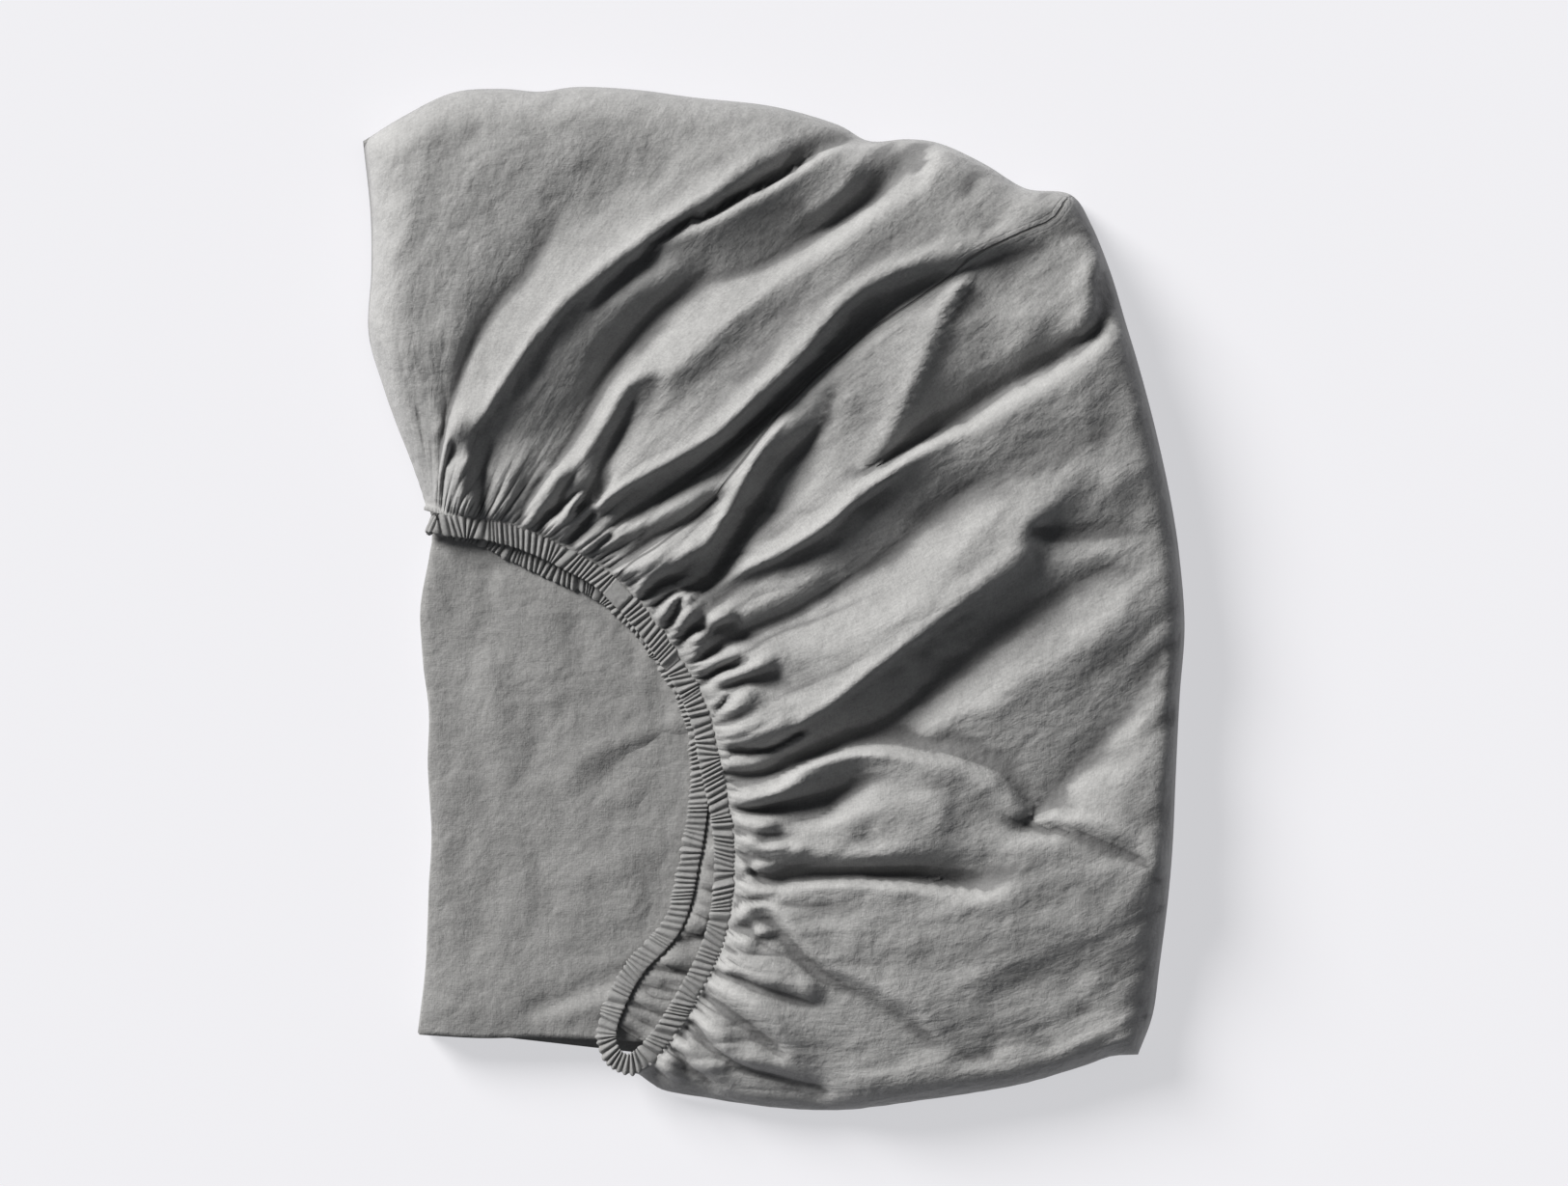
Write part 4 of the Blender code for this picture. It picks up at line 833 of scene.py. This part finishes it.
        hem = on_elastic(self.front_hem, columns)[..., 2]
        near_hem = 1 - smoothstep(r / 0.016)
        z = height + (hem - height) * near_hem
        return np.dstack([x, y, z]), seam

    def ply_grid(self, number, columns, rows):
        """One ply under the skirt, as rows by columns by three."""
        patch = self.floor if number == 0 else self.back if number > TOP_PLY else self.panel
        place = patch.grid(columns, rows)
        c, r = np.meshgrid(columns, rows)
        x, y = place[..., 0], place[..., 1]
        if 0 < number <= TOP_PLY:
            pair = number // 2
            near_edge = 1 - smoothstep(r / 0.3)
            x = x + FOLD_EDGE_WANDER * (smooth_noise(c * 7, np.full_like(c, pair * 3.1), 41) - 0.5) * near_edge
            lower_end = smoothstep((c - 0.9) / 0.1)
            upper_end = 1 - smoothstep(c / 0.1)
            step = smooth_noise(np.full_like(c, number * 1.7), r * 4, 43) * FOLD_EDGE_WANDER * (number < TOP_PLY)
            y = y + step * (lower_end - upper_end * 0.4)
        if number > TOP_PLY:
            z = BACK_PLY_HEIGHT + self.bulge(x, y)
            z = z + self.gathers(columns, rows, GATHERS[1:], BACK_GATHER_SCALE) * smoothstep(r / 0.006)
            z = z + sum(self.ridge(*fold, x, y) for fold in GAP_FOLDS)
            hem = on_elastic(self.back_hem, columns)[..., 2] - HEM_DROP
            z = z + (hem - z) * (1 - smoothstep(r / 0.02))
            return np.dstack([x, y, z])
        top = PANEL_TOP_HEIGHT + self.bulge(x, y) * 0.9 + 0.0007 * (smooth_noise(x * 14, y * 11, 47) - 0.5)
        top = top + self.ridge(*PANEL_HOLLOW, x, y)
        z = PLY_REST + (top - PLY_REST) * number / TOP_PLY
        if number == TOP_PLY:
            z = z + self.panel_wrinkles(x, y) * smoothstep(np.minimum(c, 1 - c) / 0.05) * smoothstep(r / 0.04)
        return np.dstack([x, y, z])

    @staticmethod
    def ridge(line, height, half_width, x, y):
        """A rounded ridge along a line, or a hollow where its height is below zero."""
        away = distance_to([grid_curve(line, 16).points], x, y)
        return height * MM * np.exp(-((away / (half_width * MM)) ** 2))

    def panel_wrinkles(self, x, y):
        """Soft wrinkles of the flat panel."""
        broad = 0.0019 * smooth_noise(x / 0.017 + y / 0.09, y / 0.042, 53)
        fine = 0.0008 * smooth_noise(x / 0.007 + y / 0.05, y / 0.026, 57)
        return broad + fine + sum(self.ridge(*wrinkle, x, y) for wrinkle in PANEL_WRINKLES)

    @staticmethod
    def painted_hollow_shade(z, near, far):
        """How far each point lies under the mean of its neighbours across the gathers, from -1 to 1: it sets the
        painted shade in hollows and the painted highlight on crests.
        """
        total = np.zeros_like(z)
        for reach, weight in ((near, 2.4), (far, 0.6)):
            padded = np.pad(z, ((0, 0), (reach, reach)), mode="edge")
            mean = sum(padded[:, k : k + z.shape[1]] for k in range(2 * reach + 1)) / (2 * reach + 1)
            total += weight * (mean - z)
        return np.clip(total / DARKEST_PAINTED_SHADE_DEPTH, -1, 1)

    @staticmethod
    def turn(lower, upper, before):
        """Two rows of points round a fold, from the lower ply's end to the upper one's."""
        out = (lower - before) * (1, 1, 0)
        out /= np.linalg.norm(out, axis=1)[:, None]
        middle, half = (lower + upper) / 2, (lower - upper) / 2
        reach = np.linalg.norm(half, axis=1)[:, None]
        angles = (math.pi / 3, 2 * math.pi / 3)
        return [middle + half * math.cos(a) + out * reach * math.sin(a) for a in angles]

    @staticmethod
    def ply_rows(number):
        """The rows of one ply, as shares of its patch in the order in which the cloth runs."""
        if number == 0:
            return np.array([1, 0.9, 0.6, 0.3, 0.06, 0.01])
        if number > TOP_PLY:
            return np.linspace(0.985, 0, 20) ** 1.7
        if number == TOP_PLY:
            return np.concatenate([np.linspace(0.01, 0.56, 46), [0.66, 0.78, 0.9, 0.985]])
        rows = np.array([0.01, 0.06, 0.93, 0.985])
        return rows if number % 2 else rows[::-1]

    def rows(self):
        """Every row of the middle surface, with each row's distance to the corner seam, and how deep each point lies
        in a hollow, for the painted shade.
        """
        plain, wide, full, fine = map(even, (PLY_COLUMNS, TURN_COLUMNS, SKIRT_COLUMNS, HEM_COLUMNS))
        across = even(SKIRT_ROWS) ** 1.25
        near, near_seam = self.skirt_grid(fine, across[:HEM_ROWS])
        skirt, seam = self.skirt_grid(full, across[HEM_ROWS:])
        rows, seams = list(near) + list(skirt), list(near_seam) + list(seam)
        painted_hollow_shade = list(self.painted_hollow_shade(near[..., 2], 3, 9)) + list(self.painted_hollow_shade(skirt[..., 2], 2, 5))
        rim, floor_edge = skirt[-1, ::2], self.ply_grid(0, wide, np.array([1.0]))[0]
        for inwards, drop in RIM_TURN:
            sunk = np.array([0, 0, drop]) * (rim[:, 2:] - floor_edge[:, 2:])
            rows.append(rim * (1 - inwards) + floor_edge * inwards - sunk)
        rows.append(floor_edge)
        for number in range(TOP_PLY + 2):
            columns = plain if number < TOP_PLY else wide if number == TOP_PLY else full
            ply = self.ply_grid(number, columns, self.ply_rows(number))
            if number >= TOP_PLY:
                start = self.ply_grid(number, plain if number == TOP_PLY else wide, self.ply_rows(number)[:1])[0]
                rows += self.turn(rows[-1], start, rows[-2])
            elif number:
                rows += self.turn(rows[-1], ply[0], rows[-2])
            painted_hollow_shade += [np.zeros(len(row)) for row in rows[len(painted_hollow_shade) :]]
            rows += list(ply)
            if number > TOP_PLY:
                painted_hollow_shade += list(self.painted_hollow_shade(ply[..., 2], 2, 5))
        seams += [np.full(len(row), 1.0) for row in rows[len(seams) :]]
        return rows, seams, painted_hollow_shade


def strip(above, below):
    """The faces between two rows, where one may have half as many columns as the other."""
    if len(above) == len(below):
        return [(above[i], below[i], below[i + 1], above[i + 1]) for i in range(len(above) - 1)]
    if len(above) > len(below):
        return [
            (above[2 * i], below[i], below[i + 1], above[2 * i + 2], above[2 * i + 1])
            for i in range(len(below) - 1)
        ]
    return [
        (above[i], below[2 * i], below[2 * i + 1], below[2 * i + 2], above[i + 1])
        for i in range(len(above) - 1)
    ]


def add_piece(name, points, faces, uv=None):
    """A mesh object with its place in its mesh, and a UV map from one (u, v) for each point."""
    mesh = bpy.data.meshes.new(name)
    mesh.from_pydata([tuple(p) for p in points], [], faces)
    mesh.validate()
    if uv is not None:
        layer = mesh.uv_layers.new(name="flow")
        corners = np.empty(len(mesh.loops), int)
        mesh.loops.foreach_get("vertex_index", corners)
        layer.uv.foreach_set("vector", np.asarray(uv, np.float32)[corners].ravel())
    mesh.shade_smooth()
    obj = bpy.data.objects.new(name, mesh)
    bpy.context.scene.collection.objects.link(obj)
    return obj


def add_values(obj, name, values):
    """A named value at each point of the mesh."""
    attribute = obj.data.attributes.new(name, "FLOAT", "POINT")
    attribute.data.foreach_set("value", np.asarray(values, np.float32))


def apply_modifier(obj, kind, **settings):
    modifier = obj.modifiers.new(kind.title(), kind)
    for key, value in settings.items():
        setattr(modifier, key, value)
    bpy.ops.object.select_all(action="DESELECT")
    bpy.context.view_layer.objects.active = obj
    obj.select_set(True)
    bpy.ops.object.modifier_apply(modifier=modifier.name)
    obj.select_set(False)


def make_sheet():
    """The whole cloth as one solid, from the elastic's front run to its back run."""
    rows, seams, painted_hollow_shade = FoldedSheet().rows()
    index, count = [], 0
    for row in rows:
        index.append(range(count, count + len(row)))
        count += len(row)
    faces = [face for above, below in zip(index, index[1:]) for face in strip(above, below)]
    points = np.vstack(rows)
    middles = np.array([row[len(row) // 2] for row in rows])
    travelled = np.concatenate([[0], np.cumsum(np.linalg.norm(np.diff(middles, axis=0), axis=1))])
    uv = np.vstack([
        np.column_stack([np.linspace(0, SKIRT_LENGTH, len(row)), np.full(len(row), way)])
        for row, way in zip(rows, travelled)
    ])
    sheet = add_piece("folded_sheet", points, faces, uv)
    add_values(sheet, "seam_distance", np.concatenate(seams))
    # The hollow value paints shade in the cloth's hollows and a highlight on its crests.
    add_values(sheet, "hollow", np.concatenate(painted_hollow_shade))
    apply_modifier(sheet, "SOLIDIFY", thickness=PLY_THICKNESS, offset=0)
    return sheet


def make_elastic():
    """The casing as one closed tube, ribbed by its gathers and flat where the corner seam crosses it."""
    path = Curve([on_grid(p) for p in FRONT_BAND + BAND_TURN + BACK_BAND + END_TURN], closed=True)
    ribs = int(path.length / RIB_SPACING)
    count = ribs * RIB_RINGS
    share = np.arange(count) / count
    squeeze = 1.5 * (smooth_noise(share * ribs * 0.45, share * 0, 91) - 0.5)
    phase = share * ribs + squeeze
    strength = 0.60 + 0.40 * smooth_noise(share * ribs * 0.9, share * 0, 93)
    rib = np.abs(np.sin(math.pi * phase)) ** 0.8 * strength
    slant = 0.9 * (smooth_noise(share * ribs * 0.3, share * 0, 95) - 0.5)
    ruffle = RUFFLE * smooth_noise(share * ribs * 0.6, share * 0, 97)
    places = path.at(share)
    from_seam = np.hypot(*(places[:, :2] - on_grid(SEAM_CROSSING)).T) / SEAM_CROSSING_RADIUS
    flat_spot = 1 - smoothstep(from_seam - 1)
    flat_spot *= places[:, 2] > 0.025
    rib = rib * (1 - flat_spot) + 0.8 * flat_spot
    slant, ruffle = slant * (1 - flat_spot), ruffle * (1 - flat_spot)
    ahead = path.at((share + 0.5 / ribs) % 1) - path.at((share - 0.5 / ribs) % 1)
    ahead /= np.linalg.norm(ahead, axis=1)[:, None]
    across = np.array([0.0, 1.0, 0.0])
    points, uv = [], []
    angles = 2 * math.pi * (np.arange(CASING_SIDES) + 0.5) / CASING_SIDES
    wide = np.sign(np.cos(angles)) * np.abs(np.cos(angles)) ** CASING_ROUNDNESS
    high = np.sign(np.sin(angles)) * np.abs(np.sin(angles)) ** CASING_ROUNDNESS
    for number in range(count):
        across = across - ahead[number] * (across @ ahead[number])
        across /= np.linalg.norm(across)
        up = np.cross(ahead[number], across)
        sink = RIB_DEPTH * (1 - rib[number])
        half_wide = (CASING_WIDTH / 2 - sink * 0.45) * wide + ruffle[number] * np.maximum(wide, 0) * rib[number]
        half_high = (CASING_HEIGHT / 2 - sink) * high
        along = np.outer(half_wide * slant[number], ahead[number])
        points.append(places[number] + np.outer(half_wide, across) + np.outer(half_high, up) + along)
        uv.append(np.column_stack([angles / (2 * math.pi), np.full(CASING_SIDES, phase[number])]))
    faces = []
    for number in range(count):
        shift = CASING_SIDES // 2 if number == count - 1 else 0
        here, below = number * CASING_SIDES, ((number + 1) % count) * CASING_SIDES
        for side in range(CASING_SIDES):
            after = (side + 1) % CASING_SIDES
            under = [below + (corner + shift) % CASING_SIDES for corner in (after, side)]
            faces.append((here + side, here + after, *under))
    elastic = add_piece("shirred_elastic", np.vstack(points), faces, np.vstack(uv))
    # The hollow value paints shade in the grooves between the ribs and a highlight on the ribs' tops.
    add_values(elastic, "hollow", np.repeat(1.1 - 2.2 * rib, CASING_SIDES))
    return elastic


class Signal:
    """A shader value that takes part in ordinary arithmetic."""

    def __init__(self, bench, socket):
        self.bench, self.socket = bench, socket

    def made(self, operation, first, second):
        return self.bench.node("ShaderNodeMath", {"operation": operation}, {0: first, 1: second})[0]

    def __add__(self, other):
        return self.made("ADD", self, other)

    def __sub__(self, other):
        return self.made("SUBTRACT", self, other)

    def __mul__(self, other):
        return self.made("MULTIPLY", self, other)

    def __radd__(self, other):
        return self.made("ADD", other, self)

    def __rsub__(self, other):
        return self.made("SUBTRACT", other, self)

    def __rmul__(self, other):
        return self.made("MULTIPLY", other, self)

    def __abs__(self):
        return self.bench.node("ShaderNodeMath", {"operation": "ABSOLUTE"}, {0: self})[0]

    def step(self, low, high):
        """Nought below low, one above high, and smooth between."""
        settings = {"interpolation_type": "SMOOTHSTEP"}
        return self.bench.node("ShaderNodeMapRange", settings, {"Value": self, "From Min": low, "From Max": high})[0]


class Outputs:
    """The outputs of a node, each as a signal."""

    def __init__(self, bench, made):
        self.bench, self.made = bench, made

    def __getitem__(self, key):
        return Signal(self.bench, self.made.outputs[key])


class Bench:
    """The node tree of one material."""

    def __init__(self, name):
        self.material = bpy.data.materials.new(name)
        self.material.use_nodes = True
        self.tree = self.material.node_tree
        self.shader = self.tree.nodes["Principled BSDF"]

    def fill(self, made, inputs):
        for key, value in inputs.items():
            if isinstance(value, Signal):
                self.tree.links.new(value.socket, made.inputs[key])
            elif value is not None:
                made.inputs[key].default_value = value

    def node(self, kind, settings, inputs):
        made = self.tree.nodes.new(kind)
        for key, value in settings.items():
            setattr(made, key, value)
        self.fill(made, inputs)
        return Outputs(self, made)

    def noise(self, place, scale, detail=2.0, roughness=0.5, distortion=0.0):
        inputs = {"Vector": place, "Scale": scale, "Detail": detail, "Roughness": roughness, "Distortion": distortion}
        return self.node("ShaderNodeTexNoise", {}, inputs)["Fac"]

    def stretched(self, place, scale):
        """Coordinates scaled by a vector."""
        return self.node("ShaderNodeMapping", {}, {"Vector": place, "Scale": scale})["Vector"]

    def mixed(self, factor, first, second):
        """A colour or vector between two others."""
        return self.node("ShaderNodeMix", {"data_type": "RGBA"}, {0: factor, 6: first, 7: second})[2]

    def bump(self, height, distance, strength=1.0, under=None):
        inputs = {"Height": height, "Distance": distance, "Strength": strength, "Normal": under}
        return self.node("ShaderNodeBump", {}, inputs)["Normal"]

    def finish(self, colour, roughness, normal, **fixed):
        self.fill(self.shader, {"Base Color": colour, "Roughness": roughness, "Normal": normal})
        for key, value in fixed.items():
            self.shader.inputs[key.replace("_", " ").title().replace("Ior", "IOR")].default_value = value
        return self.material


def linen(name, seam=False):
    """Washed linen, with painted shade in its hollows. Its threads follow the gathers on the skirt, and lie square on
    the flat panel.
    """
    bench = Bench(name)
    place = bench.node("ShaderNodeTexCoord", {}, {})["Object"]
    flow = bench.node("ShaderNodeUVMap", {"uv_map": "flow"}, {})["UV"]
    way = bench.node("ShaderNodeSeparateXYZ", {}, {"Vector": flow})["Y"]
    flat = way.step(SKIRT_END, PANEL_START) if seam else 0.0
    threads = bench.mixed(flat, flow, place) if seam else flow
    weft = bench.noise(bench.stretched(threads, (190, 1500, 1)), 1.0, 3.0, 0.6)
    warp = bench.noise(bench.stretched(threads, (1500, 190, 1)), 1.0, 3.0, 0.6)
    speckle = bench.noise(place, 800, 2.0, 0.6)
    mottle = bench.noise(place, 75, 4.0, 0.6, 0.4)
    cloudy = bench.noise(place, 14, 2.0, 0.5)
    slubs = (weft - 0.5) * 0.55 + (warp - 0.5) * 0.50 + (speckle - 0.5) * 0.75
    hollow = bench.node("ShaderNodeAttribute", {"attribute_name": "hollow"}, {})["Fac"]
    # Slubs, mottling and clouds are the linen's own tone; the hollow term is painted shade in hollows and a painted
    # highlight on crests.
    tone_and_painted_shade = 0.5 + slubs + (mottle - 0.5) * 0.60 + (cloudy - 0.5) * 0.40 - hollow * 0.25
    colour = bench.mixed(tone_and_painted_shade, LINEN_DARK, LINEN_LIGHT)
    # Painted shade: the cloth is mixed towards a near-black grey where it lies deep in a hollow.
    colour = bench.mixed(hollow.step(0.15, 1.0) * 0.55, colour, LINEN_PAINTED_SHADE)
    crinkle = bench.noise(place, 52, 2.5, 0.5, 0.3)
    streak = bench.noise(bench.stretched(flow, (150, 45, 1)), 1.0, 2.5, 0.55, 0.3)
    pucker = bench.noise(place, 210, 3.0, 0.6)
    fibres = weft * 0.5 + warp * 0.5 + speckle * 0.5
    normal = bench.bump(crinkle, 0.0040, 0.50)
    normal = bench.bump(streak * (1 - flat), 0.0022, 0.40, normal)
    normal = bench.bump(pucker, 0.0012, 0.50, normal)
    if seam:
        away = bench.node("ShaderNodeAttribute", {"attribute_name": "seam_distance"}, {})["Fac"]
        groove = 1 - abs(away).step(0.0002, 0.0009)
        lip = 1 - abs(abs(away) - SEAM_HALF_WIDTH).step(0.0001, 0.0007)
        normal = bench.bump(groove * -1.0 + lip * -0.10, 0.0009, 1.0, normal)
        # Painted shade: the flat panel is made a little darker than the skirt.
        colour = bench.mixed(flat * 0.16, colour, PANEL_SHADE)
        # Painted shade: the seam's groove is made much darker, and its lip a little darker.
        colour = bench.mixed(groove * 0.75 + lip * 0.08, colour, SEAM_SHADE)
    normal = bench.bump(fibres, 0.0004, 0.6, normal)
    roughness = 0.82 + (mottle - 0.5) * 0.12
    return bench.finish(colour, roughness, normal, sheen_weight=0.12, sheen_roughness=0.5, specular_ior_level=0.25)


def add_floor():
    bpy.ops.object.select_all(action="DESELECT")
    bpy.ops.mesh.primitive_plane_add(size=6, location=(0, 0, 0))
    floor = bpy.context.object
    floor.name = "floor"
    floor.select_set(False)
    bench = Bench("floor")
    bench.finish(FLOOR_COLOUR, 0.9, None, specular_ior_level=0.1, emission_color=FLOOR_GLOW, emission_strength=0.59)
    floor.data.materials.append(bench.material)


def add_sun(name, azimuth, elevation, spread, power, colour):
    """A distant soft light; azimuth is measured from +X towards +Y, and spread is its apparent size."""
    data = bpy.data.lights.new(name, "SUN")
    data.angle = math.radians(spread)
    data.energy = power
    data.color = colour
    lamp = bpy.data.objects.new(name, data)
    bpy.context.scene.collection.objects.link(lamp)
    lamp.rotation_euler = (math.radians(90 - elevation), 0, math.radians(azimuth + 90))


def add_camera():
    data = bpy.data.cameras.new("camera")
    data.lens = CAMERA_LENS
    data.sensor_width = CAMERA_SENSOR
    camera = bpy.data.objects.new("camera", data)
    x, y = on_grid(VIEW_CENTRE)
    camera.location = (x, y, VIEW_WIDTH * CAMERA_LENS / CAMERA_SENSOR)
    bpy.context.scene.collection.objects.link(camera)
    bpy.context.scene.camera = camera


def light_scene():
    world = bpy.data.worlds.new("studio")
    world.use_nodes = True
    world.node_tree.nodes["Background"].inputs["Color"].default_value = SKY_COLOUR
    world.node_tree.nodes["Background"].inputs["Strength"].default_value = 0.12
    bpy.context.scene.world = world
    add_sun("key", azimuth=139, elevation=28, spread=26, power=5.5, colour=SUN_COLOUR)
    bpy.context.scene.view_settings.view_transform = "Standard"


add_camera()
light_scene()
add_floor()

sheet = make_sheet()
sheet.data.materials.append(linen("grey linen", seam=True))
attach(sheet, "root")
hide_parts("sheet")

elastic = make_elastic()
elastic.data.materials.append(linen("shirred linen"))
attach(elastic, "root")
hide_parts("elastic_edge")
